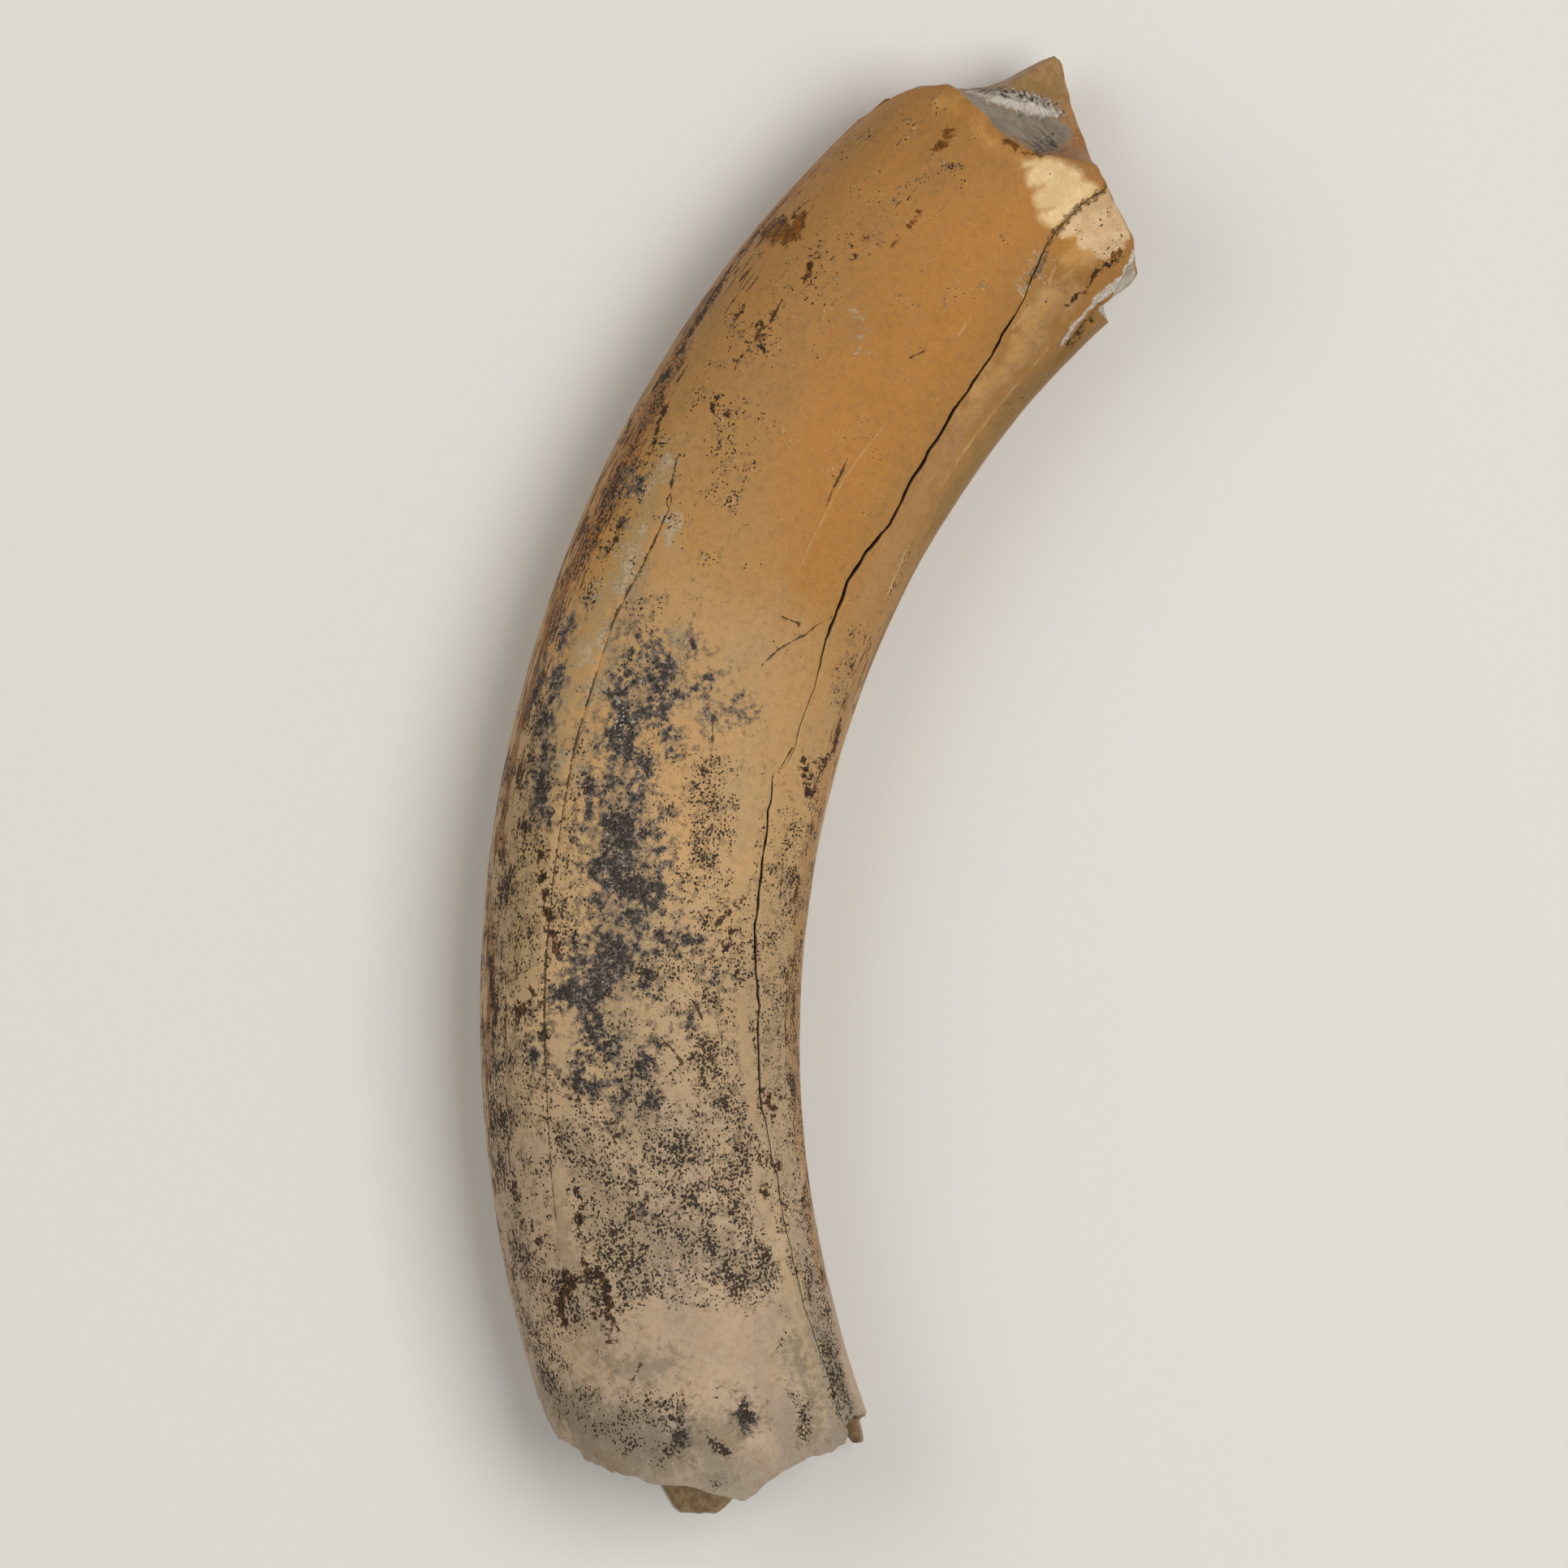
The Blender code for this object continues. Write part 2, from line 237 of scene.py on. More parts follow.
@dataclass(frozen=True)
class Section:
    """The section across the arc: domed above, flatter below, and a little thinner to the inner side.

    Angles go round it from 0 on the inner side over a quarter turn on top.
    """

    root_half_width: float = 18.56
    growth: float = 4.35
    easing: float = -3.67
    height_above: float = 15.0
    height_below: float = 12.7
    roundness_above: float = 2.25
    roundness_below: float = 2.70
    inner_thinning: float = 0.10
    root_thinning: float = 0.07
    arc_length: float = 190.0

    def half_width(self, along: Array) -> Array:
        """Returns half the width at places along the arc."""
        share = along / self.arc_length
        return self.root_half_width + self.growth * share + self.easing * share * share

    def dome(self, share_across: Array, along: Array) -> Array:
        """Returns the height of the upper side's dome, which thins to the inner side and to the root."""
        root = self.root_thinning * np.clip(1 - along / (0.5 * self.arc_length), 0, 1)
        return self.height_above * (1 - self.inner_thinning * share_across) * (1 - root)

    def outline(self, angle: Array, along: Array) -> tuple[Array, Array]:
        """Goes round the section.

        Args:
            angle: Angles round it.
            along: Places along the arc.

        Returns:
            The places across and up.
        """
        side, top = np.cos(angle), np.sin(angle)
        power = np.where(top >= 0, 2 / self.roundness_above, 2 / self.roundness_below)
        share_across = np.sign(side) * np.abs(side) ** power
        height = np.where(top >= 0, self.dome(share_across, along), self.height_below)
        return share_across * self.half_width(along), np.sign(top) * np.abs(top) ** power * height

    def angle_above(self, across: Array, along: Array) -> Array:
        """Returns the angle on the upper side at places across it."""
        share = np.clip(across / self.half_width(along), -1, 1)
        return np.arccos(np.sign(share) * np.abs(share) ** (self.roundness_above / 2))

    def angle_below(self, across: Array, along: Array) -> Array:
        """Returns the angle on the lower side at places across it."""
        share = np.clip(across / self.half_width(along), -1, 1)
        return FULL_TURN - np.arccos(np.sign(share) * np.abs(share) ** (self.roundness_below / 2))

    def around(self, angle: Array) -> Array:
        """Returns how far it is round the section from the inner side to an angle, at mid-length."""
        half_degrees = np.linspace(0, FULL_TURN, 721)
        across, up = self.outline(half_degrees, np.full(half_degrees.shape, self.arc_length / 2))
        way = np.concatenate([[0], np.cumsum(np.hypot(np.diff(across), np.diff(up)))])
        return np.interp(angle, half_degrees, way)

    def way_to(self, route: Profile, along: Array) -> Array:
        """Returns how far round the section a route on the upper side, (along, across), lies."""
        return self.around(self.angle_above(through(route, along), along))

    def reach(self, across: Array, above: bool) -> Array:
        """Returns how far the section at the crown reaches over or under its middle at places across it."""
        share = np.clip(np.abs(across) / self.half_width(self.arc_length), 0, 1)
        power = self.roundness_above if above else self.roundness_below
        height = self.dome(across / self.half_width(self.arc_length), self.arc_length)
        height = height if above else self.height_below
        return height * (1 - share**power) ** (1 / power)


@dataclass(frozen=True)
class Crack:
    """The open drying crack along the inner edge of the upper side.

    Attributes:
        route: (along, across as a share of half the width).
        half_widths: (along, half its width).
        ragged: How ragged its width is, as a share of it.
        jogs: How it jogs sideways.
        depth: How deep it is where it is wide.
        wide: From what half width on that is.
        least_depth: The least share of that depth.
        through_wall: The largest share of the wall that it goes through.
        lip: How far its chipped lips are rounded.
    """

    route: Profile = (
        (0, 0.855), (4.8, 0.845), (13.7, 0.835), (19.5, 0.82), (26.3, 0.82), (33.2, 0.81), (38.9, 0.8),
        (42, 0.78), (50.1, 0.75), (56.3, 0.745), (62, 0.742), (67, 0.717), (74, 0.695), (81.3, 0.688),
        (85.7, 0.677), (90.5, 0.66), (94.2, 0.64), (95.2, 0.7), (98.3, 0.73), (107.8, 0.715), (112.3, 0.7),
        (116.5, 0.685), (120.5, 0.673), (124.2, 0.675), (127, 0.695), (131.5, 0.73), (137.5, 0.71),
        (144.7, 0.695), (151.9, 0.665), (160.2, 0.62), (164.5, 0.57), (168.1, 0.52), (170.6, 0.465),
        (174.2, 0.39), (177.1, 0.35), (180, 0.33), (184.3, 0.34), (190, 0.4),
    )
    half_widths: Profile = (
        (0, 0.06), (12, 0.07), (30, 0.08), (42, 0.11), (50, 0.15), (60, 0.18), (80, 0.17), (90, 0.13),
        (92.5, 0.1), (94, 0.015), (95.6, 0.015), (97, 0.06), (108, 0.06), (112, 0.13), (117, 0.23),
        (135, 0.24), (146, 0.22), (152, 0.18), (159, 0.16), (165, 0.11), (170, 0.07), (175, 0.04),
        (186, 0.035),
    )
    ragged: Chips = ((0.30, 1.7, 1, 11), (0.15, 0.8, 1, 12))
    jogs: Chips = ((0.16, 2.6, 1, 13), (0.09, 1.1, 1, 14))
    depth: float = 2.2
    wide: float = 0.17
    least_depth: float = 0.15
    through_wall: float = 0.55
    lip: float = 0.06

    def half_width(self, along: Array) -> Array:
        """Returns half its ragged width at places along the arc."""
        return through(self.half_widths, along) * (1 + chipped(along, along * 0, self.ragged))

    def angle(self, along: Array, section: Section) -> Array:
        """Returns the angle round the section that it runs at, which jogs a little as a crack does."""
        across = through(self.route, along) * section.half_width(along) + chipped(along, along * 0, self.jogs)
        return section.angle_above(across, along)

    def depths(self, along: Array, wall: Array) -> Array:
        """Works out how deep it is.

        Args:
            along: Places along the arc.
            wall: How thick the tooth's wall is there.

        Returns:
            The depths: less where the crack is narrow, and never through the wall.
        """
        share = np.clip(self.half_width(along) / self.wide, self.least_depth, 1)
        return np.minimum(self.depth * share, self.through_wall * wall)


@dataclass(frozen=True)
class Groove:
    """The narrow growth groove along the outer side of the upper face, (along, across)."""

    route: Profile = (
        (0, -14.4), (30.5, -13.4), (38, -12.2), (52, -11.8), (68, -11.9), (84, -11.9), (98, -11.8),
        (106, -11.8), (109.6, -11.4), (113.6, -10.8), (120.8, -10.7), (124, -11.9), (130, -13.5),
        (190, -15.5),
    )
    depths: Profile = ((14, 0.0), (30, 0.12), (80, 0.20), (120, 0.20), (127, 0.0))
    half_width: float = 0.28

    def angle(self, along: Array, section: Section) -> Array:
        """Returns the angle round the section that it runs at."""
        return section.angle_above(through(self.route, along), along)


@dataclass(frozen=True)
class Crown:
    """The worn crown. Lines across it are (across, along), and single points of it (across, up).

    Attributes:
        outer_shoulder: What the crest and the upper line share on the outer side.
        inner_shoulder: What they share on the inner side.
        scoop_power: How hollow the worn face is between its upper edge and the crest.
        far_slope_power: How hollow the slope behind the crest is.
        dish: The middle of the dish in that slope.
        rounding: How far the crown's edge is rounded.
    """

    outer_shoulder: Profile = (
        (-19.6, 164.5), (-19.3, 167.4), (-18.9, 170.4), (-18.45, 173), (-17.8, 174.9), (-15.7, 177.4),
    )
    inner_shoulder: Profile = (
        (9, 184.4), (11, 184.2), (13.3, 183.7), (15.6, 182.2), (17.1, 181.3), (17.8, 179.7),
    )
    crest_line: Profile = (
        (-13.9, 178.9), (-12.5, 180.9), (-11.8, 183.2), (-11.5, 185.5), (-11.1, 187.9), (-10.7, 189.3),
        (-9.7, 189.6), (-7.3, 188.7), (-4.3, 187.6), (-0.7, 186.7), (2.9, 185.7), (5.9, 185.1),
        (7.3, 184.8),
    )
    upper_line: Profile = (
        (-13.9, 178.1), (-9.8, 178.6), (-6.2, 178.7), (-3.4, 179.7), (-1.3, 181.1), (0.6, 183),
        (2.4, 184.5), (3.4, 185.3), (5.9, 185.1), (7.3, 184.8),
    )
    lower_line: Profile = (
        (-19.6, 171.5), (-16.3, 176), (-12, 179.5), (-6, 181.2), (4, 181.4), (12, 180.2), (17.2, 177.5),
    )
    spur: tuple[float, float] = (-10.0, -2.0)
    scoop_power: float = 1.7
    far_slope_power: float = 1.2
    dish: tuple[float, float] = (5.0, -7.5)
    dish_radius: float = 6.0
    dish_depth: float = 1.0
    rounding: float = 0.5
    unevenness: Chips = ((0.16, 1.9, 1.9, 21), (0.08, 0.8, 0.8, 22))

    def fall(self, across: Array, up: Array, section: Section) -> Array:
        """Returns how far a place lies from the crest, 0, towards the upper or the lower edge, 1."""
        over, least = up - self.spur[1], 0.1
        above = np.maximum(least, section.reach(across, above=True) - self.spur[1])
        below = np.maximum(least, section.reach(across, above=False) + self.spur[1])
        return np.clip(np.where(over >= 0, over / above, -over / below), 0, 1)

    def end(self, across: Array, up: Array, section: Section) -> Array:
        """Works out where the tooth ends.

        Args:
            across: Places across the section.
            up: Heights over its middle.
            section: The tooth's section.

        Returns:
            The places along the arc.
        """
        crest = through(self.outer_shoulder + self.crest_line + self.inner_shoulder, across)
        upper = through(self.outer_shoulder + self.upper_line + self.inner_shoulder, across)
        lower = through(self.lower_line, across)
        fall = self.fall(across, up, section)
        near = upper + (crest - upper) * (1 - fall) ** self.scoop_power
        away = np.hypot(across - self.dish[0], up - self.dish[1]) / self.dish_radius
        far = crest + (lower - crest) * fall**self.far_slope_power - self.dish_depth * ease(away, 1, 0)
        return np.where(up >= self.spur[1], near, far) + chipped(across, up, self.unevenness, moved=(60, 60))


@dataclass(frozen=True)
class Break:
    """The outer layer that is broken off the crown's inner side, down to a ledge.

    Attributes:
        left_at_ledge: (up, across) of what is left where the layer is gone, next to the ledge.
        left_at_crown: The same at the crown.
        rise: Where along the arc the first turns into the second.
        ledge: Where along the arc the layer still stands.
        slope: How far the step of the ledge slopes.
        crevice: (along, across) of the gap that opens behind the ledge.
        dark_half_width: Half the width of the crevice's dark bottom.
        moved: Cells that the patterns of its raggedness are moved by.
    """

    left_at_ledge: Profile = ((-13.0, 15.0), (-8.0, 16.8), (2.0, 17.4), (6.0, 17.4), (8.0, 17.2), (8.5, 20.0))
    left_at_crown: Profile = ((-13.0, 15.0), (-8.0, 16.8), (2.0, 17.7), (5.0, 17.3), (9.0, 15.5), (9.5, 20.0))
    rise: tuple[float, float] = (175.0, 181.0)
    ledge: float = 174.2
    slope: float = 0.7
    crevice: Profile = ((161.0, 19.1), (166.0, 18.7), (170.0, 18.3), (174.5, 17.7))
    crevice_depth: float = 1.3
    crevice_half_width: float = 0.42
    crevice_ends: Corners = (163, 168, 173.5, 175.5)
    dark_half_width: float = 0.45
    dark_ends: Corners = (163, 167, 172, 174.5)
    chips: Chips = ((0.25, 1.3, 1.6, 31), (0.12, 0.6, 0.7, 32))
    ledge_chips: Chips = ((0.7, 2.2, 1, 33),)
    moved: tuple[float, float] = (40, 0)

    def across(self, across: Array, up: Array, along: Array) -> Array:
        """Returns how far across the inner side still reaches."""
        share = ease(along, *self.rise)
        left = through(self.left_at_ledge, up) * (1 - share) + through(self.left_at_crown, up) * share
        left = left + chipped(up, along, self.chips, self.moved)
        ledge = self.ledge + chipped(up, along * 0, self.ledge_chips, self.moved)
        layer = np.clip((ledge - along) / self.slope, 0, 1)
        return np.where(across > left, left + (across - left) * layer, across)

    def dip(self, around: Array, along: Array, section: Section) -> Array:
        """Returns how deep the crevice is at places round the section and along the arc."""
        beside = around - section.way_to(self.crevice, along)
        gap = np.exp(-((beside / self.crevice_half_width) ** 2))
        return self.crevice_depth * gap * window(along, self.crevice_ends)

    def dark(self, around: Array, along: Array, section: Section) -> Array:
        """Returns how far places lie inside the crevice's dark bottom, in mm."""
        inside = self.dark_half_width - np.abs(around - section.way_to(self.crevice, along))
        return inside - OUTSIDE * (1 - window(along, self.dark_ends))


@dataclass(frozen=True)
class Ridge:
    """The low ridge along the inner edge near the crown, and the hollow between it and that edge.

    Attributes:
        route: (along, across) of its crest.
        height: Its height.
        half_width: Half its width.
        hollow_depth: How deep the hollow is.
        hollow: Where beside the crest the hollow lies.
        ends: Where along the arc they begin and end.
    """

    route: Profile = (
        (120, 18.2), (128, 17.8), (134, 17.4), (140, 17.1), (160, 16.9), (168, 16.7), (176, 16.2),
    )
    height: float = 0.26
    half_width: float = 0.4
    hollow_depth: float = 0.42
    hollow: Corners = (-5, -1.5, -0.7, 0.1)
    ends: Corners = (122, 136, 172, 180)

    def lift(self, around: Array, along: Array, section: Section) -> Array:
        """Returns how far it lifts the wall at places round the section and along the arc."""
        beside = around - section.way_to(self.route, along)
        crest = self.height * np.exp(-((beside / self.half_width) ** 2))
        return window(along, self.ends) * (crest - self.hollow_depth * window(beside, self.hollow))


@dataclass(frozen=True)
class Root:
    """The broken rim of the root and the pulp cavity inside it.

    Attributes:
        rim_above: (across, along) of the rim on the upper side.
        rim_below: The same on the lower side.
        cavity_tip: Where along the arc the cavity ends.
        mouth_share: The cavity's size at its mouth, as a share of the section.
        taper: How slowly it narrows.
        rim_bevel: How far behind the rim its edge lies.
        lumps: The lumps of its wall, as a share of its size.
        wall_radius: The section's radius, for the thickness of the wall.
    """

    rim_above: Profile = (
        (-19, 18.6), (-18.8, 18.3), (-18.7, 16.5), (-18.1, 13.7), (-16, 11.8), (-15.9, 10.8), (-14.6, 9.7),
        (-11.7, 7.6), (-10.3, 6.8), (-9.7, 6.1), (-8.5, 5.4), (-5.3, 4.1), (-3.6, 2.9), (-1.9, 1.6),
        (0.1, 0.2), (0.6, -0.3), (1.1, -0.3), (3.1, 0.2), (6, 1.1), (9.1, 1.6), (12, 1.1), (14, 1),
        (14.7, 1.2), (15.4, 1.9), (15.8, 2.7), (15.9, 3.6), (16.7, 3.9), (17.1, 4.4), (18.6, 3.9),
    )
    rim_below: Profile = (
        (-19, 18.6), (-16, 15.5), (-13, 12), (-10, 8.5), (-8.4, 5), (-8.1, 3.4), (-8.2, 2.2), (-7.5, 0.7),
        (-5.9, 0), (-3.4, -1.1), (-2.1, -0.9), (-1.1, -0.7), (-0.2, -0.2), (3, 1.2), (6, 3), (12, 4),
        (15.1, 3.9), (15.7, 2.4), (15.9, 0.8), (16.2, 0.2), (17, 0.2), (17.3, 1), (17.5, 3), (18.6, 3.9),
    )
    chipping: float = 0.22
    fine_chipping: float = 0.6
    cavity_tip: float = 62.0
    mouth_share: float = 0.968
    taper: float = 0.80
    rim_bevel: float = 0.25
    bevel_raggedness: float = 0.6
    lumps: Relief = Relief(0.06, 6, 8, 45)
    wall_radius: float = 15
    wall_range: tuple[float, float] = (0.6, 9)

    def rim(self, angle: Array, across: Array) -> Array:
        """Returns where the chipped rim stands along the arc."""
        turns = angle / FULL_TURN
        chips = wander_round(turns, 60, seed=41) + self.fine_chipping * wander_round(turns, 150, seed=42)
        above, below = through(self.rim_above, across), through(self.rim_below, across)
        return np.where(np.sin(angle) >= 0, above, below) + self.chipping * chips

    def bevel(self, turns: Array) -> Array:
        """Returns how far behind the rim the cavity's edge lies, at places round the section, 0 to 1."""
        return self.rim_bevel * (1 + self.bevel_raggedness * wander_round(turns, 90, seed=43))

    def cavity_size(self, share: Array) -> Array:
        """Returns the cavity's size, as a share of the section, at a share of the way from its tip."""
        return self.mouth_share * share**self.taper

    def wall(self, along: Array) -> Array:
        """Returns about how thick the tooth's wall is at places along the arc."""
        size = self.cavity_size(np.clip((self.cavity_tip - along) / self.cavity_tip, 0, 1))
        return np.clip(self.wall_radius * (1 - size), *self.wall_range)


class Face(Enum):
    """The face of the tooth that a stain lies on."""

    NEAR = "upper side"
    FAR = "lower side"
    BITING = "biting surface"


class Stain(str, Enum):
    """What lies on or in the dentine, and painted shade and highlights as noted. Each is an attribute of the
    mesh, in mm inside its edge.
    """

    AMBER = "amber"
    OLIVE = "olive"
    PINK = "pink"
    RUST = "rust"
    GREY = "grey"
    # Cream patches; a narrow cream line along the ridge's crest is a painted highlight.
    CREAM = "cream"
    BLUSH = "blush"
    # Painted shade on the inner flank beyond the ridge and on the spur, partly grey-brown stain.
    SHADE = "shade"
    VEIL = "veil"
    # Pale lines; along the ridge's crest a painted highlight.
    PALE = "pale"
    WHITE = "white"
    CHALK = "chalk"
    OCHRE = "ochre"
    IRON = "iron"
    MANGANESE = "manganese"
    LINES = "lines"
    # Wear, and painted shade over the hollow of the worn face.
    POROUS = "porous"
    WORN = "worn"
    SEAM = "seam"
    HONEY = "honey"
    BONE = "bone"
    HOLLOW = "hollow"
    FRACTURE = "fracture"
    INSIDE = "inside"
    # Painted shade in the open crack.
    CRACK = "crack"


THIN = (Stain.LINES, Stain.PALE)


@dataclass(frozen=True)
class Stroke:
    """One brush stroke over a face of the tooth.

    Attributes:
        path: Where it runs, as (along, across, half its width).
        face: The face that it lies on.
    """

    path: Path
    face: Face

    def measure(self, along: Array, sideways: Array, section: Section) -> tuple[Array, Array]:
        """Measures places against the stroke.

        Args:
            along: Places along the arc.
            sideways: Places round the section or, on the biting surface, across it.
            section: The tooth's section, which turns across into round.

        Returns:
            How far they lie inside its edge, negative outside, and how many half widths beside its line.
        """
        lengths, across, widths = np.array(self.path, dtype=float).T
        if self.face is Face.BITING:
            sides = across
        elif self.face is Face.NEAR:
            sides = section.around(section.angle_above(across, lengths))
        else:
            sides = section.around(section.angle_below(across, lengths))
        inside, beside, shortest = np.full(along.shape, -OUTSIDE), np.full(along.shape, OUTSIDE), 0.001
        for i in range(max(1, len(lengths) - 1)):
            j = min(i + 1, len(lengths) - 1)
            ahead, aside = along - lengths[i], sideways - sides[i]
            run, lean = lengths[j] - lengths[i], sides[j] - sides[i]
            length = max(shortest, math.hypot(run, lean))
            share = np.clip((ahead * run + aside * lean) / length**2, 0, 1)
            width = widths[i] + (widths[j] - widths[i]) * share
            here = width - np.hypot(ahead - share * run, aside - share * lean)
            beside = np.where(here > inside, (aside * run - ahead * lean) / length / width, beside)
            inside = np.maximum(inside, here)
        return inside, beside


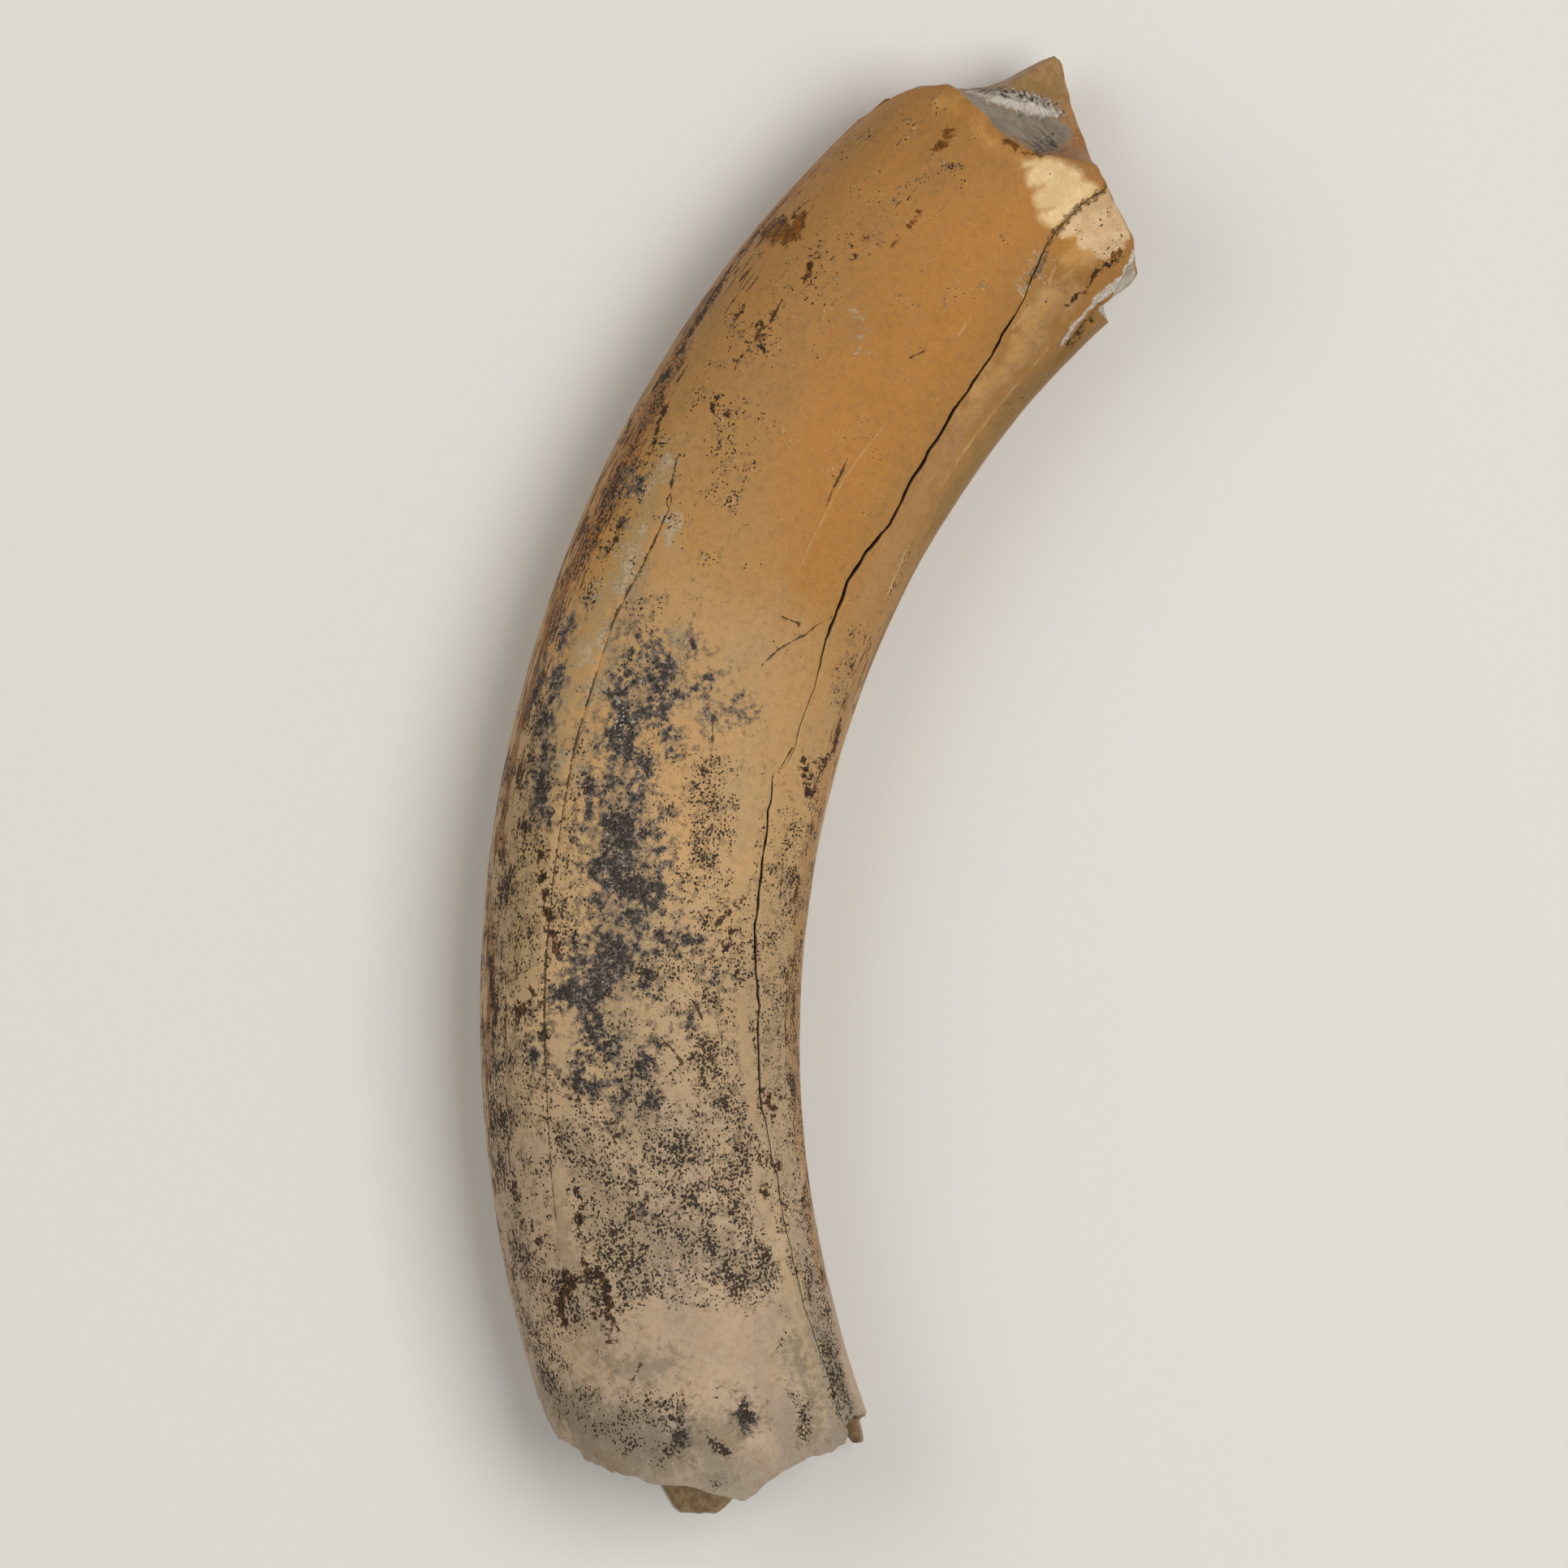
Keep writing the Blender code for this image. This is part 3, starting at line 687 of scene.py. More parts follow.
NEAR_STAINS: dict[Stain, tuple[Path, ...]] = {
    Stain.AMBER: (
        ((176, 2, 3), (168, 2, 6), (158, 3, 8), (146, 4, 8), (134, 5, 7), (124, 8, 5), (119, 9, 3)),
        ((176.5, 9, 0.7), (176.8, 10.8, 0.9)),
    ),
    Stain.OLIVE: (
        ((124, -13.5, 1.5), (117, -13, 2), (108, -14, 2), (98, -15, 2), (88, -14.5, 2.5), (80, -14.5, 2),
         (66, -16, 2)),
    ),
    Stain.PINK: (
        ((172, 14, 1.5), (165, 14.6, 1.6), (150, 15, 1.6), (135, 16, 1.6), (120, 16.5, 1.6), (110, 17, 1.2)),
        ((132, 19.4, 1.2), (106, 18.8, 2), (80, 19, 2.4), (60, 19, 2.6), (40, 19, 2.2), (24, 18.4, 1.2)),
    ),
    # Painted shade, partly the flank's own grey-brown: darker along the inner flank beyond the ridge.
    Stain.SHADE: (
        ((176, 18.6, 1), (166, 19, 2), (150, 19.2, 2.2), (136, 19.4, 2), (122, 19.5, 1.6), (106, 19.8, 1)),
    ),
    Stain.RUST: (
        ((166, -19.2, 1), (150, -19.4, 1.4), (140, -19.2, 1.6), (128, -18.2, 2.2), (118, -17.8, 2.6),
         (106, -18.8, 2)),
        ((106, -19, 1.6), (94, -19, 1.6), (80, -18.8, 1.6)),
        ((73, -19, 1), (62, -18.5, 1.8), (54, -19, 1.2)),
    ),
    Stain.GREY: (
        ((20, -18, 1.5), (16, -15, 3), (12, -11, 4.2), (9, -5, 3.8), (8, 0, 2.6), (9, 3, 1.4)),
        ((19, -8, 1), (18.5, -3, 1.6)), ((16, 13, 1.2), (9, 13, 1.4), (4, 12, 1.2)),
        ((12, 16.8, 0.8), (6, 16.5, 0.8)), ((4, -2, 1.2), (3, 0, 1)),
    ),
    Stain.VEIL: (
        ((106, -4, 1), (100, -6, 3), (94, -6, 2.8), (86, -5, 4), (78, -3.5, 5), (70, -3, 5), (63, -5, 4.5)),
        ((62, -4, 3.5), (56, -2, 4), (52, -2, 3.5), (48, 0, 3)),
        ((104, -16.5, 1.5), (96, -16.5, 1.2), (86, -15.5, 1.6)),
        ((58, -15.5, 2), (54, -16, 2), (48, -16.5, 1.5)),
        ((46, -8, 2.5), (38, -6, 4), (33, 0, 4.5), (31, 7, 3.5), (27, 10, 2.4)), ((36, -8, 3), (30, -4, 3)),
        ((38, -11.5, 2), (30, -11, 2.8), (22, -10.5, 2.6)),
        ((112, -10, 1), (102, -10, 1.6), (90, -10, 1.2)),
    ),
    Stain.MANGANESE: (
        ((105.3, -9.2, 0.3), (104.6, -7.6, 0.6), (105.1, -6, 0.6), (104.2, -4.4, 0.7), (102.9, -3.5, 0.6)),
        ((101.6, -3.9, 0.5), (100.9, -5.6, 0.8), (100.2, -7.6, 1), (98.4, -8.2, 1.1), (96.4, -7.4, 1.4),
         (94.2, -7, 1.4)),
        ((99.2, -8.6, 0.5), (101.2, -8.2, 0.5)), ((94.2, -6.4, 1.1), (91.8, -7.4, 0.9), (90, -8.4, 0.5)),
        ((93.6, -6, 0.9), (91.6, -5, 0.8)),
        ((96.2, -5.8, 1.2), (97.4, -4.4, 1), (98.8, -2.8, 0.9), (100.2, -1.2, 0.8), (101.4, 0.2, 0.6),
         (102.2, 1.5, 0.3)),
        ((104.6, 1.6, 0.25), (102, 1.9, 0.35), (100.2, 2.3, 0.25), (98.8, 3, 0.2)),
        ((96.2, -1.4, 0.4), (94.9, -0.6, 0.5)), ((101.4, 6.9, 0.4), (99.8, 6.8, 0.3)), ((106.8, -1, 0.4),),
        ((91.5, -3.6, 0.8), (89, -3.2, 0.9), (86.5, -3.4, 0.8)),
        ((91, -6.9, 0.5), (88.4, -6.6, 0.5), (86, -7.4, 0.4)),
        ((87.6, -8.4, 0.5), (85.4, -8.6, 0.5), (83, -9, 0.4), (81, -9.8, 0.3)),
        ((84.6, -6.8, 0.8), (82.8, -6, 1), (80.6, -5.6, 1.2), (78.6, -6, 1.3)),
        ((84.6, -4.2, 0.9), (82.6, -3.6, 1.3), (80.4, -3.2, 1.3), (78.8, -3.8, 1)),
        ((84.4, -0.2, 0.4), (82.4, 0.4, 0.6), (80, 0.9, 0.7), (78, 1.5, 0.6), (76.6, 2.1, 0.3)),
        ((78, -7.4, 0.6), (77, -5.8, 0.9), (76.6, -3.2, 1.1), (76.8, -0.8, 1), (76.8, 1.2, 0.9)),
        ((76, -6, 0.5), (74.6, -5.8, 0.6)), ((75.2, -3, 0.5), (74.9, -0.8, 0.6), (75.6, 1.2, 0.3)),
        ((73.3, -5.8, 0.4), (72.6, -4, 0.5), (73.4, -2, 0.4), (73.6, 0.4, 0.25)),
        ((71.6, -2.4, 0.5), (71.4, -0.4, 0.8), (71, 1.2, 0.6)), ((70, -7.6, 0.5), (71.4, -6.4, 0.5)),
        ((69.4, -4.6, 1), (69.2, -2.6, 1.2), (69.4, -0.6, 1), (69.8, 0.8, 0.5)),
        ((67.4, -7.6, 0.8), (67.2, -5.4, 1.3), (67.4, -3.2, 1.1)),
        ((65.6, -8.4, 0.9), (65, -6, 1.3), (65.6, -4.2, 0.9)),
        ((63.8, -10.6, 0.7), (63.2, -8.8, 1.1), (63, -6.4, 1.2), (63.6, -4.4, 0.7)),
        ((62, -6.2, 0.9), (60.8, -5.6, 0.7)), ((60.6, -5.6, 0.4), (59, -5.2, 0.4)),
        ((58.2, -3.2, 0.3), (56.8, -4, 0.8), (55.6, -3.9, 0.6)),
        ((56.4, -6.6, 0.3), (54.6, -8.2, 0.5), (53.2, -7.6, 0.7), (52.6, -6.2, 0.4)),
        ((53, -5, 0.25), (53, -3.4, 0.2)), ((57, 0.4, 0.4), (56.2, 0.8, 0.3)),
        ((54.9, 0.2, 0.5), (54.2, 1, 0.4)), ((50, 0.9, 0.6), (49.4, 1.6, 0.4)), ((50.8, -2.6, 0.5),),
        ((49.2, -3.8, 0.4),), ((36.8, -0.6, 0.4),), ((70.2, 4.2, 0.4), (70.6, 5.6, 0.5), (71, 6.6, 0.3)),
        ((72.4, 4, 0.2), (70.8, 5, 0.2)), ((57.4, 1.6, 0.2), (58.2, 3.6, 0.2)), ((64.6, 0.6, 0.4),),
        ((66.2, 8.8, 0.4), (65.2, 9.4, 0.3)), ((60.4, 6, 0.4),),
        ((104.2, -16.8, 0.5), (101.2, -17, 0.6), (98.6, -16.2, 0.7), (95.6, -16.4, 0.7), (92.6, -16, 0.7),
         (89.6, -15.2, 0.5)),
        ((99, -18.6, 0.4), (96, -18.2, 0.5)),
        ((90, -15.2, 0.4), (88, -15.4, 0.6), (86, -15, 0.8), (84.2, -14.4, 0.7), (83, -13.8, 0.4)),
        ((122.2, -15.9, 0.7), (120.6, -15.8, 0.8), (119.4, -15.6, 0.4)),
        ((57.6, -13.4, 0.6), (56, -13.2, 0.9), (55.2, -13.8, 0.8), (55, -12.4, 0.4)), ((59, -12.2, 0.3),),
        ((9.8, 4.8, 0.9), (9, 4.9, 0.5)), ((9.6, -4.2, 0.5), (8.8, -3.2, 0.6)), ((11, -3.4, 0.4),),
    ),
    Stain.IRON: (
        ((152.6, -19.2, 0.4), (151.2, -19.4, 0.4)), ((155.2, -17.4, 0.3), (154.2, -18.2, 0.3)),
        ((88, -18, 0.5), (86.4, -17.8, 0.5), (84.6, -17.4, 0.4)),
        ((79, -13.8, 0.4), (77, -13.6, 0.5), (75.4, -13, 0.4), (73.8, -12.5, 0.35), (72.4, -12.2, 0.3),
         (70.2, -11.2, 0.4)),
        ((70.2, -11.2, 0.35), (68.6, -10.6, 0.4), (67.2, -10, 0.3)), ((70.4, -1, 0.8), (71.2, 0.8, 0.6)),
        ((67, -18.8, 0.4), (64, -18.2, 0.6), (61.4, -18, 0.5), (59, -18, 0.4)),
        ((62.8, -13.4, 0.5), (61.4, -14.6, 0.6), (60.6, -15.4, 0.5)), ((64, -13.6, 0.4),),
        ((152.4, -18.8, 0.3), (149, -19.4, 0.3), (145, -19.2, 0.3), (141, -18.9, 0.3), (137, -18.8, 0.4),
         (133, -18.8, 0.4)),
        ((133, -19, 0.4), (129, -19.4, 0.4), (125, -19.6, 0.3)),
        ((130.4, -16.8, 0.2), (129, -16.6, 0.3), (127.4, -16.2, 0.3), (125.4, -15.6, 0.25),
         (123.6, -15.6, 0.2)),
        ((146.9, -11.8, 0.1), (145.2, -11.7, 0.15)),
        ((143.8, -12.2, 0.1), (142.6, -11.4, 0.25), (141.8, -10.6, 0.1)),
        ((140.4, -12, 0.1), (138.4, -11.9, 0.2)), ((144.6, -15.4, 0.1), (143.2, -15, 0.1)),
        ((134.8, -11.4, 0.1), (133.8, -12, 0.2), (132.6, -11.4, 0.1)), ((133.4, -9.2, 0.1),),
        ((153.4, -12, 0.2), (151.6, -11.6, 0.25), (151.2, -10.6, 0.2)),
        ((157.2, -9.4, 0.1), (156.4, -8.4, 0.15)), ((122.2, -18.2, 0.3), (119.8, -18.6, 0.3)),
        ((118.4, -15.4, 0.2), (116.4, -15.2, 0.2), (113.4, -15.4, 0.2)),
        ((116, -19.2, 0.3), (112, -19.4, 0.3), (108, -19.2, 0.3)),
        ((50.8, 14.6, 0.5), (49.2, 15.4, 0.8), (48, 16, 0.7), (46.6, 15.6, 0.4)),
        ((49.4, 16.8, 0.4), (49.6, 17.8, 0.3)), ((40.4, 16, 0.4), (39.4, 16, 0.6)),
        ((38, 14, 0.7), (37.2, 13.8, 0.5)), ((35.2, 17.6, 0.4), (35, 18.4, 0.3)),
        ((73, 19.2, 0.3), (71.4, 19.2, 0.4)),
        ((104.6, 18.4, 0.2), (102.6, 18.6, 0.5), (101, 18.7, 0.8), (99.8, 19, 0.6)),
        ((98.4, 18.2, 0.2), (96.4, 18, 0.2)),
        ((76.6, 11.8, 0.15), (75.6, 11, 0.4), (74.4, 10, 0.55), (73.2, 9, 0.3)),
        ((72.6, 10.8, 0.2), (70.8, 10.2, 0.35), (69.2, 9.6, 0.15)),
        ((97, 15.6, 0.4), (95, 16.2, 0.5), (93, 17, 0.4), (91.6, 18, 0.4)),
        ((31.6, -12.4, 0.4), (30.6, -11.8, 0.7), (29.4, -12.6, 0.9), (28.2, -13.4, 0.7), (26.4, -13.8, 0.4)),
        ((30.6, -8.2, 0.5), (29, -7.6, 0.5), (27.4, -8, 0.5), (25.6, -7.8, 0.4), (23.8, -7.6, 0.4),
         (23, -8.6, 0.3)),
        ((33.6, -10.2, 0.4), (31, -9.4, 0.4)), ((27.6, -10, 0.4), (25.8, -10.2, 0.4)),
        ((41, -9.2, 0.25), (38.6, -9.2, 0.35), (36.2, -9.4, 0.35), (35, -9.8, 0.2)),
        ((43, -16.6, 0.4), (41.8, -16.8, 0.4)), ((37.6, -15.2, 0.4), (35.4, -15, 0.3)), ((46.6, -11, 0.4),),
        ((178.4, 13.9, 0.12), (177.2, 13.8, 0.2), (176.2, 14.1, 0.1)),
        ((174.6, 14.6, 0.1), (170.5, 14.8, 0.1)),
    ),
    Stain.OCHRE: (
        ((155.6, -16.4, 1), (154.2, -15.8, 1.3), (153.4, -17.2, 1.3), (152.6, -18.6, 0.9)),
        ((174.2, -10.8, 0.5), (173.2, -10.5, 0.7), (171.9, -10.6, 0.4)),
        ((165.4, -6.2, 0.1), (164, -6, 0.3), (162.8, -6, 0.1)), ((161.4, -5.8, 0.1), (160.4, -5.8, 0.2)),
        ((158.6, -9.2, 0.2), (157.2, -9, 0.3)), ((152.8, -12, 0.4), (151.2, -11.2, 0.5)),
        ((178.4, -6, 0.3), (179.2, -4.6, 0.7), (180.2, -2.8, 0.9), (181.2, -1.4, 0.5)),
        ((181, 13.6, 0.25), (179.6, 13.8, 0.3)),
    ),
    Stain.SEAM: (
        ((184.8, 6.6, 0.3), (182, 6.4, 0.42), (180, 6.35, 0.46), (178, 6.6, 0.4), (176, 7, 0.4),
         (174, 7.6, 0.3)),
        ((173.4, 8.2, 0.3), (171, 8.9, 0.6), (169.2, 9.4, 0.4)),
    ),
    Stain.CHALK: (
        ((125.4, -12.8, 0.6), (123.6, -13.4, 0.7), (121.6, -14, 0.5)),
        ((119.8, -9.4, 0.5), (118, -9.2, 0.8), (116.6, -8.2, 0.5)),
        ((116.2, -12.6, 0.6), (113.2, -12.6, 0.7), (110.6, -12.8, 0.5)),
        ((113, -14.2, 0.5), (110, -14.4, 0.4)), ((106, -17, 0.5), (104.6, -17.2, 0.7)),
        ((102.6, -14.4, 1.2), (101.4, -13.6, 1.2), (102, -15.4, 0.7)),
        ((104.6, -13, 0.5), (100.6, -12.8, 0.5)), ((97, -14.6, 0.5), (94.6, -15.4, 0.4)),
        ((98, -10.4, 0.4), (107, -4, 0.3)), ((89.6, -13.6, 0.5), (89, -11, 0.3)),
        ((171.6, 8.8, 0.3), (170, 9, 0.35), (168.6, 9.4, 0.3)),
        ((151.6, -3.4, 0.3), (150, -1.8, 0.35), (149.2, -0.8, 0.4)), ((104, -2.8, 0.3), (103.4, -4.8, 0.3)),
        ((81, -6.6, 0.4), (78.6, -7.4, 0.4)), ((72.4, -5, 0.6),),
    ),
    Stain.CREAM: (
        ((177.6, 0.4, 0.5), (178.8, 0.2, 1.4), (180.2, 0.3, 1.6), (181.2, 1.4, 1.3), (182.2, 3.2, 1.1)),
        ((177.6, 3, 1.5), (179.4, 3.4, 2.1), (181.2, 4.2, 1.9), (182.8, 5.8, 1.2)),
        ((176.2, 4.4, 0.7), (176.8, 5.4, 1.2), (178.6, 5.4, 1.4), (181, 5.6, 1.4)),
        ((178.6, -1.8, 0.5), (179.6, -1.2, 0.8)),
        # Painted highlight: a narrow cream line along the ridge's crest.
        ((171, 16.8, 0.02), (160, 17.1, 0.1), (146, 17.2, 0.14), (134, 17.6, 0.06), (123, 18.2, 0.02)),
    ),
    Stain.BLUSH: (
        ((184, 8, 0.6), (182.4, 8.2, 1.1), (180.4, 8.2, 1.2), (178.6, 8, 0.9), (176.6, 7.8, 0.4)),
        ((183.4, 10.2, 0.8), (181.8, 10.4, 1.5), (179.8, 10.4, 1.6), (178.6, 10, 1.2)),
        ((184.4, 7.6, 0.9), (182.4, 7.6, 1.2), (180.4, 7.6, 1.3), (178.6, 8, 1)),
        ((184.2, 9, 0.8), (183.8, 12.6, 0.8)), ((182.8, 12.4, 0.9), (181.4, 12.6, 1.2), (179.6, 12.4, 1.2)),
    ),
    Stain.LINES: (
        ((116.4, 13, 0.12), (115, 12, 0.12), (113.4, 11.2, 0.08)), ((112.4, 10.4, 0.1), (110.8, 9.2, 0.1)),
        ((110, 8.6, 0.14), (107.8, 7.6, 0.1)), ((114.2, 9.4, 0.1), (114.2, 8.2, 0.1)),
        ((135.8, 5.9, 0.05), (133.6, 6.1, 0.2), (131.6, 6.3, 0.12), (129.4, 6.6, 0.05)),
        ((151.8, 5.1, 0.08), (152.8, 5.6, 0.08)), ((58, 2.8, 0.12), (57, 3.8, 0.16), (55.4, 4.8, 0.2)),
        ((56, 8.6, 0.12), (54, 9, 0.14)), ((19, -6, 0.16), (18.2, -6.8, 0.14)),
        ((62.4, 6.8, 0.12), (61.2, 7.4, 0.14)),
        ((125.8, -12.4, 0.1), (124, -11.9, 0.2), (122.4, -11.3, 0.2), (121.4, -11.2, 0.1)),
        ((120.8, -10.6, 0.14), (117, -10.6, 0.16), (113.6, -10.8, 0.12), (109.6, -11.4, 0.14),
         (106, -11.8, 0.1)),
        ((104, -11.7, 0.08), (98, -11.8, 0.1), (92, -12, 0.1), (84, -11.9, 0.08), (74, -11.8, 0.1)),
        ((74, -11.8, 0.12), (68, -11.9, 0.16), (60.5, -11.9, 0.14), (52, -11.8, 0.06), (38, -12.2, 0.05)),
        ((147, -11.8, 0.1), (145.6, -11.6, 0.16)),
        ((97.6, 13.9, 0.09), (96.4, 13.6, 0.07), (94.9, 13.2, 0.04)), ((82, 16, 0.08), (78, 16.2, 0.1)),
        ((61, 18.6, 0.14), (57, 19.2, 0.12), (52, 19.2, 0.16)), ((99, 3.6, 0.08), (96.6, 4.2, 0.08)),
        ((85.4, 6.6, 0.1), (84, 6.6, 0.08)),
    ),
    Stain.WHITE: (
        ((182.8, 14.9, 0.4), (181.2, 15.9, 0.7), (179.6, 16.5, 0.9), (178, 16.7, 1), (176.2, 16.6, 1)),
        ((176.2, 16.6, 1), (174, 16.7, 0.8), (171.6, 17, 0.6), (169.4, 17.4, 0.45), (166.6, 18, 0.25)),
    ),
    Stain.HONEY: (
        ((177.4, -2.6, 0.2), (177, -7, 0.1), (176.8, -11, 0.1), (176.4, -14, 0.1)),
        ((176.8, 8.6, 0.8), (176.6, 10.6, 1), (174.6, 11.4, 0.7)),
        ((173, 12.4, 0.4), (167, 13.4, 0.9), (160, 14.2, 0.8), (150, 14.8, 0.2)),
    ),
    Stain.BONE: (
        ((178, 11.5, 0.4), (172, 12.6, 0.8), (164, 14.3, 0.8), (154, 15, 0.4)),
        ((44, 14.6, 0.8), (34, 14.8, 1.6), (24, 14.6, 2.2), (14, 13.6, 2.4), (6, 13, 1.8)),
    ),
    Stain.PALE: (
        ((142, 7.4, 0.08), (138, 7.1, 0.1), (134, 6.8, 0.06), (128, 7, 0.12), (124, 7, 0.1),
         (121, 7.2, 0.06)),
        ((160, 7.4, 0.15), (158.2, 7.6, 0.12)), ((172.6, 10.4, 0.2), (171.4, 10.8, 0.14)),
        ((165.2, 12, 0.14), (163.8, 12, 0.14)), ((171, 11.6, 0.14), (169.6, 11.4, 0.1)),
        ((166.4, 14.2, 0.12), (164.6, 14, 0.12)), ((117, 13.6, 0.05), (108, 14.2, 0.06), (99, 14.4, 0.06)),
        # Painted highlight: the pale line along the ridge's crest by the inner edge.
        ((160, 17.2, 0.18), (150, 17.3, 0.2), (140, 17.3, 0.2), (132, 17.8, 0.14), (124, 18.2, 0.08)),
        ((172, 17, 0.1), (166, 16.9, 0.16), (160, 17.1, 0.18)),
    ),
}

BITING_STAINS: dict[Stain, tuple[Path, ...]] = {
    Stain.POROUS: (
        ((179, -13.6, 0.3), (180.3, -11.8, 0.8), (181.8, -9.8, 1.1), (183.3, -8, 1.3), (184.8, -6, 1.1),
         (185.8, -4.4, 0.5)),
    ),
    Stain.WHITE: (
        ((179, -13.4, 0.2), (179.9, -11.6, 0.4), (181.2, -9.6, 0.5), (182.6, -7.8, 0.6), (184, -6.2, 0.7),
         (185.4, -4.6, 0.4)),
    ),
    Stain.RUST: (((186.6, -0.9, 0.7), (185, 0.4, 1.5), (183.6, 0.2, 1.2), (182.6, -0.6, 0.8)),),
    # Wear and painted shade: the grey band just behind the near rim, where the worn face hollows away from
    # the light.
    Stain.WORN: (
        ((178.8, -12.4, 0.5), (179.4, -9.6, 1), (180.2, -7.4, 1.5), (181.8, -5.4, 1.9), (183.4, -3.6, 1.9),
         (184.4, -2.4, 1.4)),
        ((181.4, -3.2, 1), (183, -1.6, 0.8)),
    ),
    Stain.MANGANESE: (((181.8, -2.6, 0.35), (182.8, -2.4, 0.4)),),
    Stain.AMBER: (((186, -1, 0.6), (184.8, 0.2, 1.2), (184.6, 1.8, 0.8)),),
    # Painted shade on the spur below its crest.
    Stain.SHADE: (((184.2, -11, 0.5), (186, -8.6, 1), (187, -6, 0.7)),),
}

FAR_STAINS: dict[Stain, tuple[Path, ...]] = {
    Stain.AMBER: (((172, 2, 5), (150, 3, 9), (125, 2, 9), (100, 4, 6)),),
    Stain.OLIVE: (((110, -12, 4), (85, -12, 5), (60, -10, 4)),),
    Stain.GREY: (((26, 4, 3), (14, 8, 3)), ((12, -8, 2), (8, -4, 2))),
    Stain.VEIL: (
        ((114, 4, 3), (98, 3, 4.5), (82, -2, 5), (68, -3, 4)), ((62, 5, 4), (48, 5, 5), (34, 2, 4)),
    ),
    Stain.MANGANESE: (
        ((112, 4, 0.8), (104, 2, 1.6), (97, 5, 1.2), (90, 3, 0.6)),
        ((101, 6, 0.6), (96, 8, 1), (93, 7, 0.5)),
        ((88, -2, 0.7), (80, -4, 1.6), (72, -3, 1.1), (69, 0, 0.6)),
        ((84, -6, 0.8), (79, -8, 1), (76, -7, 0.6)), ((58, 7, 0.6), (52, 6, 1.3), (47, 8, 0.7)),
        ((64, 1, 0.7), (60, 2, 0.9), (57, 1, 0.4)), ((16, 9, 0.7), (13, 10, 1.1), (11, 9, 0.6)),
        ((134, -9, 0.5), (129, -10, 0.8)),
    ),
    Stain.IRON: (
        ((150, 8, 0.6), (143, 7, 1.2), (138, 9, 0.6)), ((126, -12, 0.5), (118, -13, 1), (111, -12, 0.5)),
        ((40, -9, 0.5), (33, -8, 1.2), (28, -10, 0.6)), ((166, -4, 0.4), (163, -3, 0.9), (161, -4, 0.5)),
        ((75, 11, 0.5), (70, 12, 0.8), (66, 12, 0.4)),
    ),
    Stain.CHALK: (((134, -3, 0.6), (128, -4, 1.4), (121, -3, 0.7)), ((64, -12, 0.6), (60, -12, 1.2))),
}

CLEAN: tuple[Path, ...] = (
    ((60.6, -9.4, 1), (58.4, -8.8, 1.1), (57.2, -10.2, 1.2)), ((74, -4.2, 0.4), (72.8, -4.4, 0.3)),
    ((43, -11.2, 0.9), (38, -11.6, 1.1), (33, -11.8, 1)),
    ((41, 13, 0.6), (36, 13.2, 0.9), (30, 13.9, 0.8), (24, 14.6, 0.6)),
    ((22, 2, 2.6), (18, 7, 3.4), (8, 8.6, 2.2)), ((25, -2, 1.2), (21, -2, 1.8)),
    ((64, 12.4, 0.8), (56, 13, 0.8), (46, 13.6, 0.6)), ((92, 10.8, 1.6), (84, 11, 1.4), (78, 11.2, 1)),
)


@dataclass(frozen=True)
class Specks:
    """A field of fine mineral specks.

    Attributes:
        cover: How much of it the specks cover, 0 to 1.
        path: Where it runs, as (along, across, half its width).
        fade: Millimetres over which it thins out at its edge.
        face: The face that it lies on.
    """

    cover: float
    path: Path
    fade: float = 1.2
    face: Face = Face.NEAR

    def density(self, along: Array, around: Array, section: Section) -> Array:
        """Returns the cover of the specks at places along the arc and round the section."""
        inside, _ = Stroke(self.path, self.face).measure(along, around, section)
        return self.cover * ease(inside, -self.fade, self.fade)


